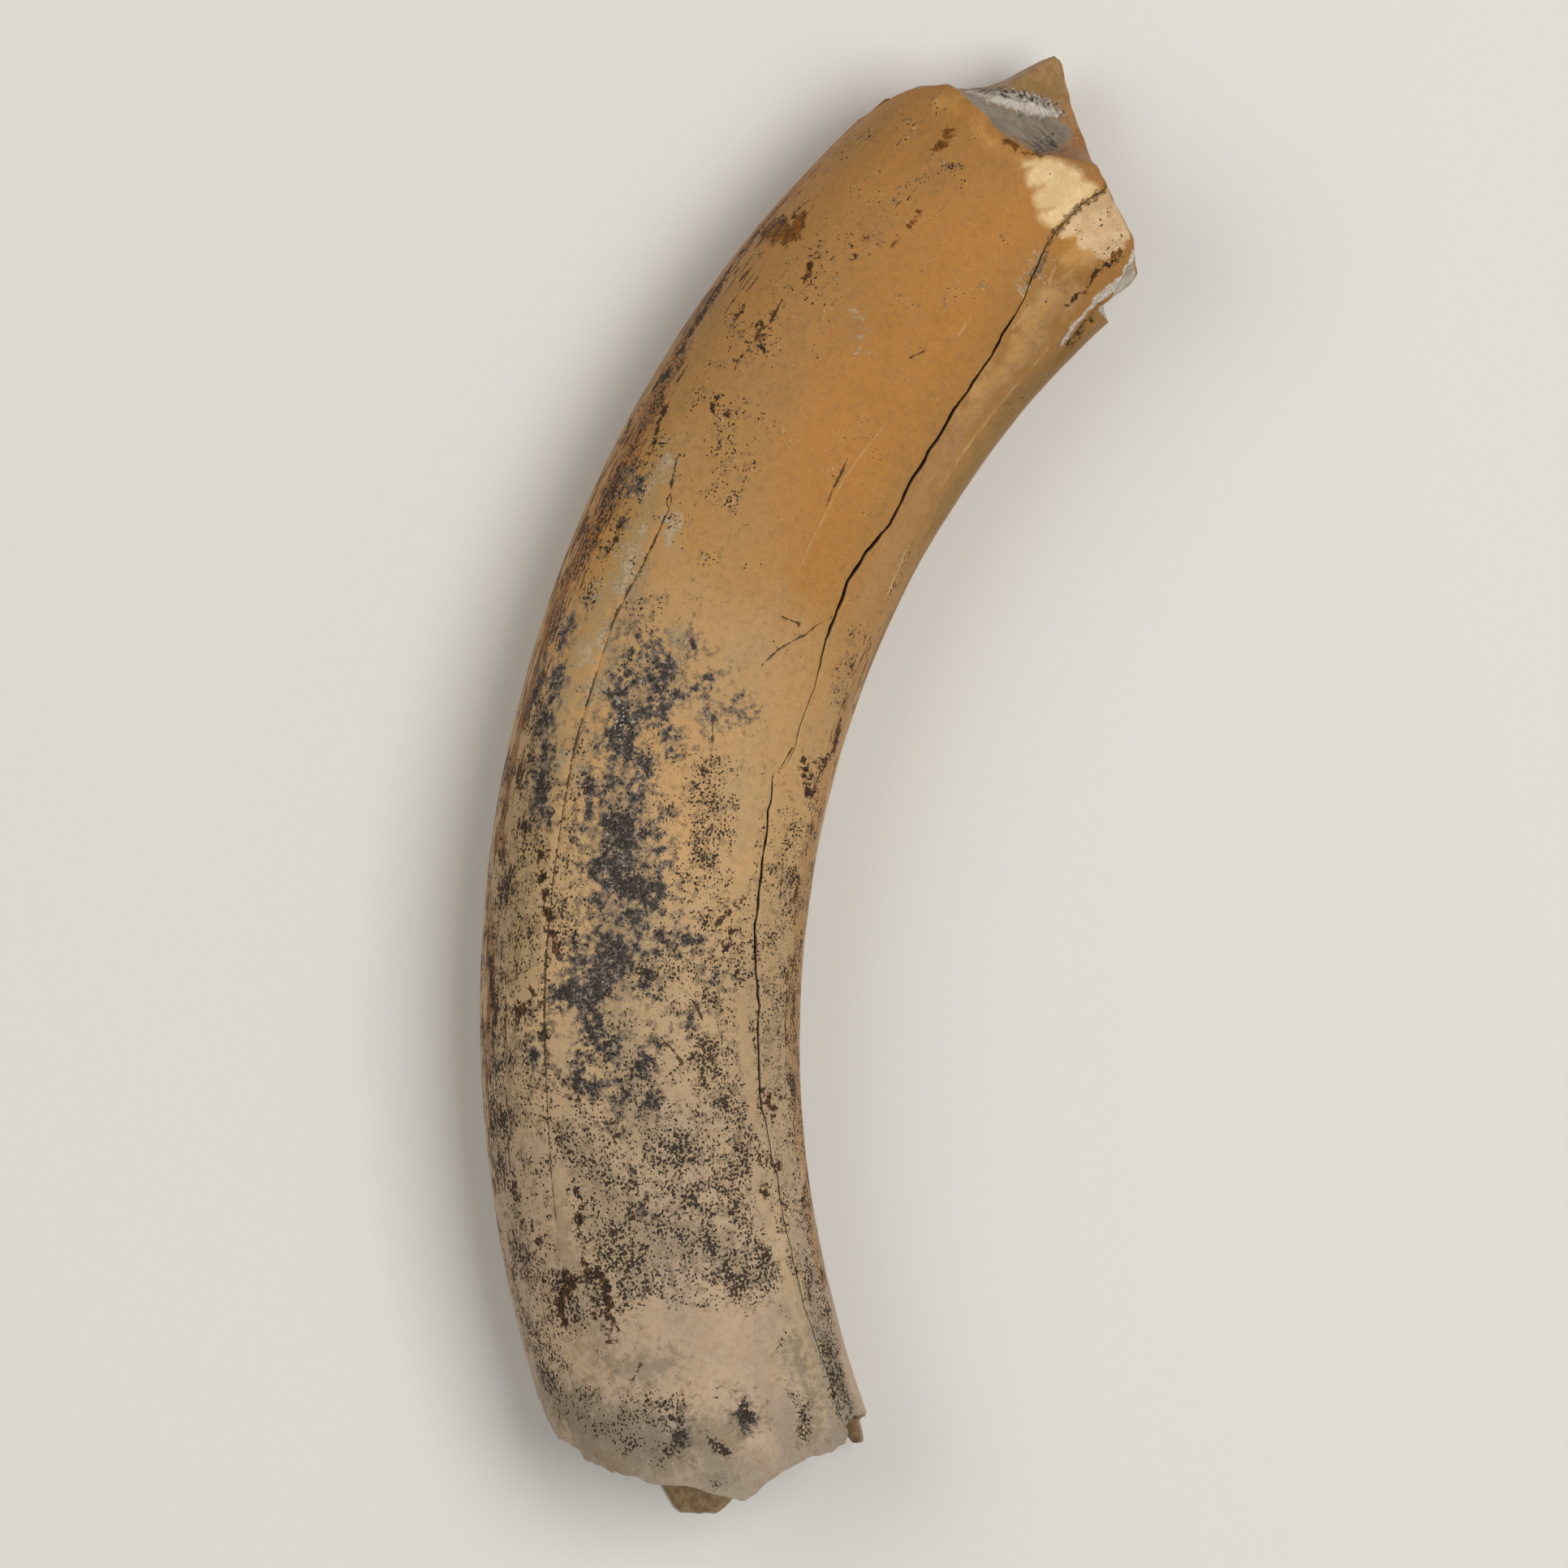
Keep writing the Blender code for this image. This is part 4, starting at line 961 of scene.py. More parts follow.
SPECKS = (
    Specks(0.3, ((37, 1.5, 9), (33, 1.5, 9.5)), 2.5),
    Specks(0.44, ((31, 9.5, 4), (27, 10, 4)), 1.5),
    Specks(0.24, ((56, 9, 4), (50, 9.5, 4.5), (43, 11, 4.5)), 2),
    Specks(0.3, ((54, 18.5, 1.6), (40, 18.3, 2.4), (20, 17.5, 2.4), (6, 16.5, 2)), 1.4),
    Specks(0.15, ((98, 18, 2), (80, 18.5, 2), (60, 18.6, 2)), 1.4),
    Specks(0.3, ((62, -17.8, 2.4), (46, -18, 2.6), (30, -17.5, 2.8), (20, -17, 2.4)), 1.4),
    Specks(0.22, ((100, -17.6, 2), (84, -17.6, 2.2), (62, -17.8, 2.4)), 1.4),
    Specks(0.2, ((126, -15.5, 1.2), (116, -15.5, 1.6), (108, -15.5, 1.4)), 1),
    Specks(0.24, ((150, -19.2, 0.8), (136, -18.6, 1.4), (122, -17.8, 1.8), (104, -18.4, 1.8)), 1),
    Specks(0.2, ((92, 6, 2.5), (86, 6.4, 2.8), (80, 6.5, 2.6), (76, 6, 2.6)), 1.6),
    Specks(0.36, ((91, 5, 0.7), (88.6, 6.6, 0.9), (86.6, 5.6, 1), (84.6, 5.8, 0.8)), 0.6),
    Specks(0.3, ((90.4, 3.4, 0.6), (88.6, 3.4, 0.5)), 0.5),
    Specks(0.34, ((83.4, 1.6, 0.7), (81.4, 2.8, 0.6), (79.2, 3.4, 0.5)), 0.6),
    Specks(0.18, ((76, 6, 2.6), (68, 7, 3.4), (60, 8, 3), (52, 8.5, 3)), 1.5),
    Specks(0.34, ((67, 9, 0.8), (64.6, 9.6, 0.9), (62.6, 9.2, 0.8)), 0.7),
    Specks(0.4, ((60, 10, 0.8), (57.8, 10, 1), (55.8, 10.4, 0.8), (53.4, 9.4, 0.6)), 0.7),
    Specks(0.3, ((66.4, 0.6, 0.8), (64.4, 1, 1), (63, 3.8, 0.8), (61.6, 4.4, 0.8)), 0.7),
    Specks(0.26, ((60, 1, 1), (57.8, 2, 1.4), (55.4, 3, 1.2), (53, 4, 0.8)), 0.8),
    Specks(0.46, ((57.6, -3.6, 0.9), (55.6, -4, 0.9)), 0.6),
    Specks(0.24, ((60, -2, 2.2), (54, -1, 3), (49, 1, 3), (46, 5, 3)), 1.2),
    Specks(0.34, ((52.4, 8, 1), (50, 9.6, 1.2), (47.4, 9.8, 1), (45.6, 10.8, 0.8)), 0.8),
    Specks(0.44, ((44.4, 11, 0.9), (42.6, 12, 1)), 0.6),
    Specks(0.24, ((44, 6, 3), (40, 3, 4), (36, 4, 4.5), (33, 6, 4.5)), 1.2),
    Specks(0.4, ((40.6, 3.6, 0.8), (39.4, 1.8, 0.8), (38.4, 4.6, 0.8), (36.8, 5.6, 0.8)), 0.7),
    Specks(0.36, ((40, 8, 1.2), (37.6, 9, 1.4), (34.4, 9.4, 1.6), (31.4, 10.4, 1.4)), 0.9),
    Specks(0.46, ((32.6, 5.4, 1.2), (30.6, 7, 1.8), (28.6, 8.6, 1.8), (26.8, 9.8, 1.4)), 0.8),
    Specks(0.42, ((27.6, 11.4, 1.4), (25.2, 12, 1.2), (23.6, 11.4, 0.9)), 0.7),
    Specks(0.38, ((31, 0.4, 1.2), (30.4, 2.6, 1.2), (31.4, 4, 1)), 0.7),
    Specks(0.26, ((31.4, -4.6, 1.4), (29.6, -2.2, 1.4), (28.4, -5.4, 1.6), (26, -6.4, 1)), 0.9),
    Specks(0.2, ((52, -7, 2.4), (46, -7, 3), (40, -5, 3.6), (34, -3, 4)), 1.6),
    Specks(0.34, ((41.2, -9.2, 0.6), (38.4, -9.2, 0.8), (35.6, -9.8, 0.7)), 0.6),
    Specks(0.3, ((39.4, -4, 1.2), (37.2, -2, 1.2), (35, -0.2, 1.2)), 0.9),
    Specks(0.36, ((31.4, -12.6, 1.6), (29, -12.8, 1.8), (27, -11.8, 1.2)), 0.9),
    Specks(0.34, ((31, -8, 1.4), (28, -8.4, 1.4), (25.6, -8.6, 1.2)), 0.9),
    Specks(0.24, ((60, -16.5, 2.4), (54, -16.5, 2.8), (46, -17, 2.4)), 1.4),
    Specks(0.4, ((51.4, -18.6, 0.8), (50.4, -16.8, 0.9), (50, -15.4, 0.7)), 0.6),
    Specks(0.44, ((56.8, -13.8, 1), (55, -14, 1)), 0.6),
    Specks(0.18, ((44, -17, 1.6), (38, -16, 1.6), (32, -16, 1.6)), 1),
    Specks(0.16, ((70, -17, 2.2), (62, -17, 2.2)), 1.2),
    Specks(0.22, ((90, -17, 1.6), (84, -17, 2), (78, -16, 1.6)), 1),
    Specks(0.26, ((82, -14.6, 1), (79.6, -13, 0.8)), 0.8),
    Specks(0.12, ((108, -9, 1.6), (98, -5, 3.2), (84, -5, 4.4), (70, -5, 4.4), (61, -6, 3)), 1.6),
    Specks(0.1, ((128, -17.5, 1.6), (110, -18, 2), (98, -17, 2)), 1),
    Specks(0.2, ((104, -17, 0.8), (100, -18, 1.2), (94, -17, 1.4)), 0.8),
    Specks(0.05, ((146, -13.4, 1.2), (140, -12, 1.2), (133, -11.8, 1.2)), 0.8),
    Specks(0.07, ((131, -10, 1), (126, -7, 1.2), (121, -6.6, 1)), 0.8),
    Specks(0.26, ((118.6, 0.6, 0.4), (117.6, 0.9, 0.3)), 0.3),
    Specks(0.24, ((111, -6.6, 0.4), (109.8, -9.6, 0.4)), 0.3),
    Specks(0.03, ((160, -9, 2.5), (150, -12, 4), (135, -11, 5), (122, -7, 6))),
    Specks(0.1, ((116, 16.4, 0.9), (112, 17, 1.4), (106, 17.6, 1.4)), 0.8),
    Specks(0.26, ((96, 16.6, 0.8), (93.6, 17.2, 0.9), (91, 17.8, 0.6)), 0.6),
    Specks(0.12, ((90, 17, 1.6), (80, 18, 1.4), (66, 18.6, 1.2)), 0.8),
    Specks(0.12, ((131, 18, 0.6), (126, 18.4, 0.8), (120, 18.2, 1)), 0.6),
    Specks(0.34, ((60.4, 15.8, 0.4), (59, 16, 0.4)), 0.4),
    Specks(0.34, ((14.4, -2.8, 0.8), (13, -4.6, 1.2), (10.4, -5, 1.8), (9, -7, 1.4)), 0.9),
    Specks(0.28, ((15.4, -14.6, 1), (13.2, -12.4, 1.4), (11, -9.4, 1.8), (9.4, -7.4, 1.4)), 1),
    Specks(0.12, ((17, -16, 1.6), (12, -7, 4)), 2),
    Specks(0.44, ((11, -3.6, 1), (9.6, -4.8, 1.2), (8.4, -4, 1)), 0.6),
    Specks(0.44, ((8, -0.6, 0.4), (7, 0.2, 0.7), (6, 0.8, 0.5)), 0.4),
    Specks(0.56, ((11, 5, 0.5), (9.6, 4.9, 1), (8.4, 5.2, 0.5)), 0.4),
    Specks(0.28, ((14.4, 2.6, 0.4), (13.2, 2.2, 0.5)), 0.4),
    Specks(0.26, ((11, 10.8, 0.5), (8.8, 12, 1), (7, 11.6, 1), (4.6, 10.8, 0.7)), 0.7),
    Specks(0.22, ((17.6, 12.6, 0.6), (16.6, 11, 0.4)), 0.4),
    Specks(0.34, ((16, 16.4, 0.6), (13, 16.4, 0.6), (10.6, 16.4, 0.8), (8, 15.8, 0.5)), 0.6),
    Specks(0.24, ((24, 17, 0.8), (28, 17.4, 0.9), (32, 17.6, 0.8)), 0.6),
    Specks(0.26, ((22, -18, 0.6), (20, -17.4, 0.7), (18.4, -17.8, 0.5)), 0.5),
    Specks(0.26, ((21.6, -15.4, 0.5), (21, -14.2, 0.4)), 0.4),
    Specks(0.28, ((22, -10.6, 0.6), (21, -10, 0.5)), 0.4),
    Specks(0.24, ((21.4, 12.6, 0.6), (20, 13.4, 0.5)), 0.4),
    Specks(0.3, ((21.2, 7.8, 0.3), (20.2, 8.6, 0.3)), 0.3),
    Specks(0.06, ((183, 9, 0.8), (181, 9.6, 1.2), (179, 8.8, 1)), 0.5),
    Specks(0.13, ((182.4, 12.6, 0.4), (180.6, 12.8, 0.5), (179, 12, 0.5)), 0.4),
    Specks(0.14, ((181.8, 14.2, 0.3), (179.6, 14.2, 0.4), (178, 13.6, 0.5)), 0.4),
    Specks(0.14, ((173.4, -6, 0.3), (171.4, -7.8, 0.4), (168.4, -9, 0.4), (165.4, -10.2, 0.3)), 0.3),
    Specks(0.12, ((168, -17.4, 0.6), (167.4, -15.4, 0.5)), 0.5),
    Specks(0.3, ((2.6, -1.6, 0.6), (3.4, -0.6, 0.5)), 0.4),
    Specks(0.1, ((120, 2, 5), (100, 3, 6), (80, 0, 7)), 4, Face.FAR),
    Specks(0.22, ((62, 4, 5), (48, 3, 7), (30, 1, 6)), 3, Face.FAR),
    Specks(0.36, ((52, 5, 1.5), (44, 3, 2), (38, 6, 1.5)), 1.5, Face.FAR),
    Specks(0.36, ((34, -3, 1.5), (30, 0, 2), (27, 4, 1.5)), 1.5, Face.FAR),
    Specks(0.08, ((150, -5, 3), (138, -6, 4)), 3, Face.FAR),
    Specks(0.3, ((14, 6, 2), (10, -4, 3)), 1.5, Face.FAR),
)


@dataclass(frozen=True)
class Skin:
    """Arrays over the grid of the tooth's mesh, one value for each ring and column.

    Attributes:
        along: Place along the arc.
        across: Place across it.
        up: Height over the middle.
        turns: Place round the section, 0 to 1.
        over_edge: How far the biting surface has run in from the crown's edge.
        is_wall: 1 on the outer wall, 0 elsewhere.
        is_crown: 1 on the biting surface, 0 elsewhere.
        crack: 1 at the bottom of the crack, 0 at its lips, -1 elsewhere.
        fracture: How far a break goes in, -1 where there is none.
    """

    along: Array
    across: Array
    up: Array
    turns: Array
    over_edge: Array
    is_wall: Array
    is_crown: Array
    crack: Array
    fracture: Array

    @property
    def is_cavity(self) -> Array:
        """Whether a place is on the pulp cavity's wall."""
        return self.is_wall + self.is_crown == 0

    @property
    def near(self) -> Array:
        """How far a place belongs to the upper side, 0 to 1."""
        return ease(self.up, -4, 0)


@dataclass(frozen=True)
class FineStains:
    """How much of the skin the fine specks, flecks and streaks cover, 0 to 1.

    A pair of places says where something begins and where it is full, along or across the arc.

    Attributes:
        specks: The dark specks' cover everywhere, and what the outer half and the root add.
        flecks: The flecks' cover below, and what the upper side adds.
        streaks: The streaks' cover where they are densest.
        clumps: The pattern that gathers the outer flank's streaks.
    """

    specks: tuple[float, float, float] = (0.002, 0.006, 0.13)
    outer_half: tuple[float, float] = (0, -8)
    outer_half_along: tuple[float, float] = (60, 90)
    root: Corners = (23, 27, 78, 98)
    clean_edge: float = 0.4
    crown_edge: tuple[float, float] = (1.2, 0.2)
    flecks: tuple[float, float] = (0.004, 0.004)
    streaks: float = 0.24
    outer_flank: tuple[float, float] = (-14.5, -18.5)
    outer_flank_along: Corners = (15, 45, 144, 164)
    inner_flank: tuple[float, float] = (16.5, 18.5)
    inner_flank_along: Corners = (10, 40, 112, 125)
    inner_share: float = 0.4
    below_share: float = 0.045
    below_along: tuple[float, float] = (168, 150)
    clumps: Relief = Relief(1, 13, 30, 71)
    clump_edge: float = 0.45

    def specks_over(self, skin: Skin, around: Array, section: Section) -> Array:
        """Works out the cover of the dark specks.

        Args:
            skin: The whole skin.
            around: Its places round the section.
            section: The tooth's section.

        Returns:
            The cover: the ground's, raised in each field of specks and cleared from each clean patch.
        """
        everywhere, outer, root = self.specks
        outer_half = ease(skin.across, *self.outer_half) * ease(skin.along, *self.outer_half_along)
        cover = everywhere + outer * outer_half + root * window(skin.along, self.root)
        cover = cover * (0.5 + 0.5 * skin.near)
        for specks in SPECKS:
            cover = np.maximum(cover, specks.density(skin.along, around, section))
        for path in CLEAN:
            inside, _ = Stroke(path, Face.NEAR).measure(skin.along, around, section)
            cover = cover * (1 - ease(inside, -self.clean_edge, self.clean_edge))
        return cover * ease(skin.over_edge, *self.crown_edge)

    def streaks_over(self, skin: Skin) -> Array:
        """Works out the cover of the long dark streaks.

        Args:
            skin: The whole skin.

        Returns:
            The cover: clumps on the outer flank, and fewer streaks on the inner flank and the lower side.
        """
        outer = ease(skin.across, *self.outer_flank) * window(skin.along, self.outer_flank_along)
        inner = ease(skin.across, *self.inner_flank) * window(skin.along, self.inner_flank_along)
        below = self.below_share * (1 - skin.near) * ease(skin.along, *self.below_along)
        clumps = ease(self.clumps.over(skin.turns, skin.along), -self.clump_edge, self.clump_edge)
        outer = outer * (0.4 + 0.6 * skin.near) * (0.4 + 0.8 * clumps)
        return self.streaks * np.maximum(np.maximum(outer, self.inner_share * inner), below)


@dataclass(frozen=True)
class Tooth:
    """The tooth, as one closed skin from the tip of its pulp cavity over the root's rim to the crown.

    Attributes:
        crack_margins: How far beside the crack the mesh has lines.
        crack_bottom: How wide the crack's bottom is, as a share of it.
        radius_share: The bend's radius at those lines, as a share of half the width.
        flutes: The long shallow waves of the wall, as (centre, width, height).
        striae_everywhere: How strong the growth striae are off the flanks, as a share.
        striae_flank: The cosines of the angle at which a flank begins and is full.
        least_break: How much has to be gone for the surface to count as broken.
    """

    arc: Arc = Arc()
    section: Section = Section()
    crown: Crown = Crown()
    root: Root = Root()
    crack: Crack = Crack()
    groove: Groove = Groove()
    broken: Break = Break()
    ridge: Ridge = Ridge()
    fine_stains: FineStains = FineStains()
    columns_to_crack: int = 44
    columns_to_groove: int = 92
    columns_to_side: int = 36
    columns_below: int = 118
    cavity_rings: int = 40
    wall_rings: int = 232
    crown_rings: int = 48
    crown_crowding: float = 1.15
    wall_crowding: float = 0.10
    fitting_rounds: int = 4
    crack_margins: tuple[float, float] = (0.45, 0.15)
    crack_bottom: float = 0.35
    radius_share: float = 0.82
    flutes: tuple[tuple[float, float, float], ...] = (
        (math.radians(205), math.radians(15), -0.7),
        (math.radians(178), math.radians(12), 0.3),
        (math.radians(318), math.radians(20), -0.6),
        (math.radians(70), math.radians(30), -0.2),
    )
    flute_fades: tuple[float, float] = (30, 20)
    striae: Relief = Relief(0.075, 1.1, 24, 51)
    striae_everywhere: float = 0.16
    striae_flank: tuple[float, float] = (0.72, 0.96)
    striae_along: Corners = (20, 60, 160, 178)
    swells: Relief = Relief(0.10, 12, 20, 55)
    grit: Relief = Relief(0.022, 2.2, 3, 61)
    least_break: float = 0.05
    smooth_angle: float = math.radians(50)

    def counts(self) -> tuple[int, ...]:
        """Returns the number of columns in each stretch round the section, as knots parts them."""
        beside_crack, beside_groove = (1,) * 7, (1, 1)
        below = (self.columns_to_side, self.columns_below)
        return (self.columns_to_crack, *beside_crack, self.columns_to_groove, *beside_groove, *below)

    def knots(self, along: Array) -> list[Array]:
        """Works out the angles that part the columns' stretches.

        Args:
            along: Places along the arc.

        Returns:
            The inner side, eight lines at the crack, three at the groove, the outer and the inner side.
        """
        width = self.crack.half_width(along)
        radius = self.radius_share * self.section.half_width(along)
        middle = self.crack.angle(along, self.section)
        lines = [*(width + margin for margin in self.crack_margins), width, self.crack_bottom * width]
        crack = [middle + offset / radius for offset in [-line for line in lines] + lines[::-1]]
        groove = self.groove.angle(along, self.section)
        beside = self.groove.half_width / radius
        inner, outer = np.zeros(along.shape), np.full(along.shape, math.pi)
        return [inner, *crack, groove - beside, groove, groove + beside, outer, outer * 2]

    def angles(self, along: Array) -> Array:
        """Returns each column's angle round the section at its places along the arc."""
        knots = self.knots(along)
        angles = np.empty(along.shape)
        column = 0
        for stretch, count in enumerate(self.counts()):
            for share in np.arange(count) / count:
                start, end = knots[stretch][:, column], knots[stretch + 1][:, column]
                angles[:, column] = start + (end - start) * share
                column += 1
        return angles

    def lift(self, angle: Array, along: Array) -> Array:
        """Works out the relief of the outer wall.

        Args:
            angle: Places round the section.
            along: Places along the arc.

        Returns:
            How far the wall stands over its smooth outline, in mm.
        """
        turns, around = angle / FULL_TURN, self.section.around(angle)
        at_root, at_crown = self.flute_fades
        ends = np.clip(along / at_root, 0, 1) * np.clip((self.arc.length - along) / at_crown, 0, 1)
        lift = np.zeros(angle.shape)
        for centre, width, height in self.flutes:
            lift += height * ends * np.exp(-(((angle - centre) / width) ** 2))
        flank = ease(np.abs(np.cos(angle)), *self.striae_flank) * window(along, self.striae_along)
        lift += (self.striae_everywhere + flank) * self.striae.over(turns, along)
        lift += self.swells.over(turns, along)
        lift += self.grit.over(turns, along)
        lift += self.ridge.lift(around, along, self.section)
        return lift - self.broken.dip(around, along, self.section)

    def wall(self) -> Skin:
        """Shapes the outer wall, from the root's rim to the crown's edge."""
        starts = np.cumsum((0, *self.counts()))
        share = np.linspace(0, 1, self.wall_rings + 1)[:, None] * np.ones(starts[-1])
        share = (1 + self.wall_crowding) * share - self.wall_crowding * share**6
        along, at_crown = self.arc.length * share, np.full(share.shape, self.arc.length)
        for _ in range(self.fitting_rounds):
            angle = self.angles(along)
            rim = self.root.rim(angle, self.section.outline(angle, along)[0])
            across, up = self.section.outline(angle, at_crown)
            across = self.broken.across(across, up, at_crown)
            end = self.crown.end(across, up, self.section) - self.crown.rounding
            along = rim + (end - rim) * share
        across, up = self.section.outline(angle, along)
        lift = self.lift(angle, along)
        # Columns of the knots at the crack's bottom, at its lips and in the groove.
        bottom, lips, groove = starts[[4, 5]], starts[[3, 6]], starts[10]
        lift[:, bottom] -= self.crack.depths(along, self.root.wall(along))[:, bottom]
        lift[:, lips] -= self.crack.lip
        lift[:, groove] -= through(self.groove.depths, along[:, groove])
        crack = np.full(angle.shape, -1.0)
        crack[:, bottom], crack[:, lips] = 1, 0
        grown = 1 + lift / np.hypot(across, up)
        whole, up = across * grown, up * grown
        across = self.broken.across(whole, up, along)
        gone = whole - across
        fracture = np.where(gone > self.least_break, np.minimum(1, gone), -1)
        nothing = np.zeros(angle.shape)
        return Skin(along, across, up, angle / FULL_TURN, nothing, nothing + 1, nothing, crack, fracture)

    def cavity(self, wall: Skin) -> Skin:
        """Shapes the pulp cavity, from its tip to the inner edge of the root's rim.

        Args:
            wall: The outer wall.

        Returns:
            The cavity's part of the skin.
        """
        share = np.linspace(0, 1, self.cavity_rings + 1)[:, None] * np.ones(wall.turns.shape[1])
        turns = wall.turns[:1] * np.ones(share.shape)
        tip, edge = self.root.cavity_tip, wall.along[:1] + self.root.bevel(turns)
        along = tip + (edge - tip) * share
        across, up = self.section.outline(turns * FULL_TURN, along)
        lumps = self.root.lumps.over(turns, along) * (1 - share**8)
        size = self.root.cavity_size(share) * (1 + lumps)
        nothing = np.zeros(share.shape)
        fracture = np.where(share == 1, 0.6, -1)
        return Skin(along, across * size, up * size, turns, nothing, nothing, nothing, nothing - 1, fracture)

    def biting_surface(self, wall: Skin) -> Skin:
        """Shapes the crown, from its edge to the tip of the spur.

        Args:
            wall: The outer wall.

        Returns:
            The crown's part of the skin, without the edge itself.
        """
        share = (np.arange(1, self.crown_rings + 1) / self.crown_rings)[:, None] ** self.crown_crowding
        edge_across, edge_up = wall.across[-1:], wall.up[-1:]
        across = edge_across + (self.crown.spur[0] - edge_across) * share
        up = edge_up + (self.crown.spur[1] - edge_up) * share
        distance = np.hypot(across - edge_across, up - edge_up)
        inside = np.clip(distance / self.crown.rounding, 0, 1)
        drop = self.crown.rounding * (1 - np.sqrt(1 - (1 - inside) ** 2))
        along = self.crown.end(across, up, self.section) - drop
        turns = wall.turns[-1:] * np.ones(along.shape)
        nothing = np.zeros(along.shape)
        return Skin(along, across, up, turns, distance, nothing, nothing + 1, nothing - 1, nothing - 1)

    def skin(self) -> Skin:
        """Returns the whole skin, ring by ring from the cavity's tip to the spur's."""
        wall = self.wall()
        parts = (self.cavity(wall), wall, self.biting_surface(wall))
        names = Skin.__dataclass_fields__
        return Skin(**{name: np.concatenate([getattr(part, name) for part in parts]) for name in names})

    def stains(self, skin: Skin, around: Array) -> dict[str, Array]:
        """Lays the strokes of all stains on the skin.

        Args:
            skin: The whole skin.
            around: Its places round the section.

        Returns:
            How far each vertex lies inside each stain, by name, and where it is beside the thin lines.
        """
        edge_ring = self.cavity_rings + 1 + self.wall_rings
        is_crown = skin.is_crown > 0
        along = np.where(is_crown, skin.along[edge_ring : edge_ring + 1], skin.along)
        away = skin.over_edge + np.where(skin.is_cavity, OUTSIDE, 0)
        made = {stain.value: np.full(along.shape, -OUTSIDE) for stain in Stain}
        made.update({f"beside_{stain.value}": np.full(along.shape, OUTSIDE) for stain in THIN})
        for face, table in ((Face.NEAR, NEAR_STAINS), (Face.FAR, FAR_STAINS), (Face.BITING, BITING_STAINS)):
            strokes = [(stain.value, Stroke(path, face)) for stain, paths in table.items() for path in paths]
            for name, stroke in strokes:
                if face is Face.BITING:
                    inside, beside = stroke.measure(skin.along, skin.across, self.section)
                    inside = np.where(is_crown & (skin.up >= self.crown.spur[1]), inside, -OUTSIDE)
                else:
                    inside, beside = stroke.measure(along, around, self.section)
                    inside = inside - away
                if name in THIN:
                    made[f"beside_{name}"] = np.where(inside > made[name], beside, made[f"beside_{name}"])
                made[name] = np.maximum(made[name], inside)
        return made

    def fields(self, skin: Skin) -> dict[str, Array]:
        """Works out what the skin's material reads from it.

        Args:
            skin: The whole skin.

        Returns:
            The mesh's attributes by name: stains in mm inside their edges, and the cover of fine specks and
            streaks as the number of deviations by which their noise has to rise over it.
        """
        around = self.section.around(skin.turns * FULL_TURN)
        made = self.stains(skin, around)
        is_wall = skin.is_wall > 0
        is_outside = is_wall | (skin.over_edge > 0)
        below, added_above = self.fine_stains.flecks
        specks = self.fine_stains.specks_over(skin, around, self.section)
        made["specks"] = deviations(specks * is_outside)
        made["flecks"] = deviations((below + added_above * skin.near) * is_outside)
        made["streaks"] = deviations(self.fine_stains.streaks_over(skin) * is_wall)
        made["biting"] = np.where(skin.is_crown > 0, skin.over_edge - 0.3, -OUTSIDE)
        made[Stain.HOLLOW.value] = self.broken.dark(around, skin.along, self.section)
        made[Stain.FRACTURE.value] = skin.fracture
        made[Stain.INSIDE.value] = np.where(skin.is_cavity, 1, -1)
        made[Stain.CRACK.value] = skin.crack
        return made

    def build(self) -> bpy.types.Object:
        """Models the tooth.

        Returns:
            The finished mesh object, at the origin, with its stains as attributes.
        """
        skin = self.skin()
        points = self.arc.place(skin.along, skin.across, skin.up) * MM
        rings, columns = skin.along.shape[0] - 1, skin.along.shape[1]
        bpy.ops.object.select_all(action="DESELECT")
        bpy.ops.mesh.primitive_uv_sphere_add(segments=columns, ring_count=rings, radius=1)
        tooth = bpy.context.object
        tooth.name = tooth.data.name = "fossil_tooth"
        mesh = tooth.data
        ball = np.empty(3 * len(mesh.vertices))
        mesh.vertices.foreach_get("co", ball)
        x, y, z = ball.reshape(-1, 3).T
        ring = np.rint((0.5 + np.arctan2(z, np.hypot(x, y)) / math.pi) * rings).astype(int)
        column = np.rint(np.arctan2(-y, x) / FULL_TURN * columns).astype(int) % columns
        mesh.vertices.foreach_set("co", points[ring, column].ravel())
        for name, values in self.fields(skin).items():
            layer = mesh.attributes.new(name=name, type="FLOAT", domain="POINT")
            layer.data.foreach_set("value", values[ring, column].astype(np.float32))
        straight = np.stack([skin.across, skin.up, skin.along], axis=-1)
        layer = mesh.attributes.new(name="straight", type="FLOAT_VECTOR", domain="POINT")
        layer.data.foreach_set("vector", straight[ring, column].astype(np.float32).ravel())
        mesh.update()
        bpy.ops.object.shade_smooth_by_angle(angle=self.smooth_angle)
        return tooth


def linear(hex_colour: str) -> tuple[float, float, float, float]:
    """Turns an sRGB colour such as "#B28149" into linear red, green, blue and alpha."""
    parts = [int(hex_colour[i : i + 2], 16) / 255 for i in (1, 3, 5)]
    light = [part / 12.92 if part <= 0.04045 else ((part + 0.055) / 1.055) ** 2.4 for part in parts]
    return (*light, 1.0)


class Grain(Enum):
    """The noises that break up the stains: (size in mm, octaves, roughness, stretch along the growth)."""

    SPECK = (0.36, 3.0, 0.55, 1.0)
    CRUMB = (1.0, 6.0, 0.68, 1.0)
    BLOTCH = (3.2, 4.0, 0.6, 1.0)
    CLOUD = (11.0, 3.0, 0.5, 1.6)
    STRAND = (0.55, 4.0, 0.6, 8.0)
    SPOT = (0.32, 0.0, 0.0, 1.25)


SPECK, CRUMB, BLOTCH, CLOUD, STRAND, SPOT = Grain
Weights = tuple[tuple[Grain, float], ...]


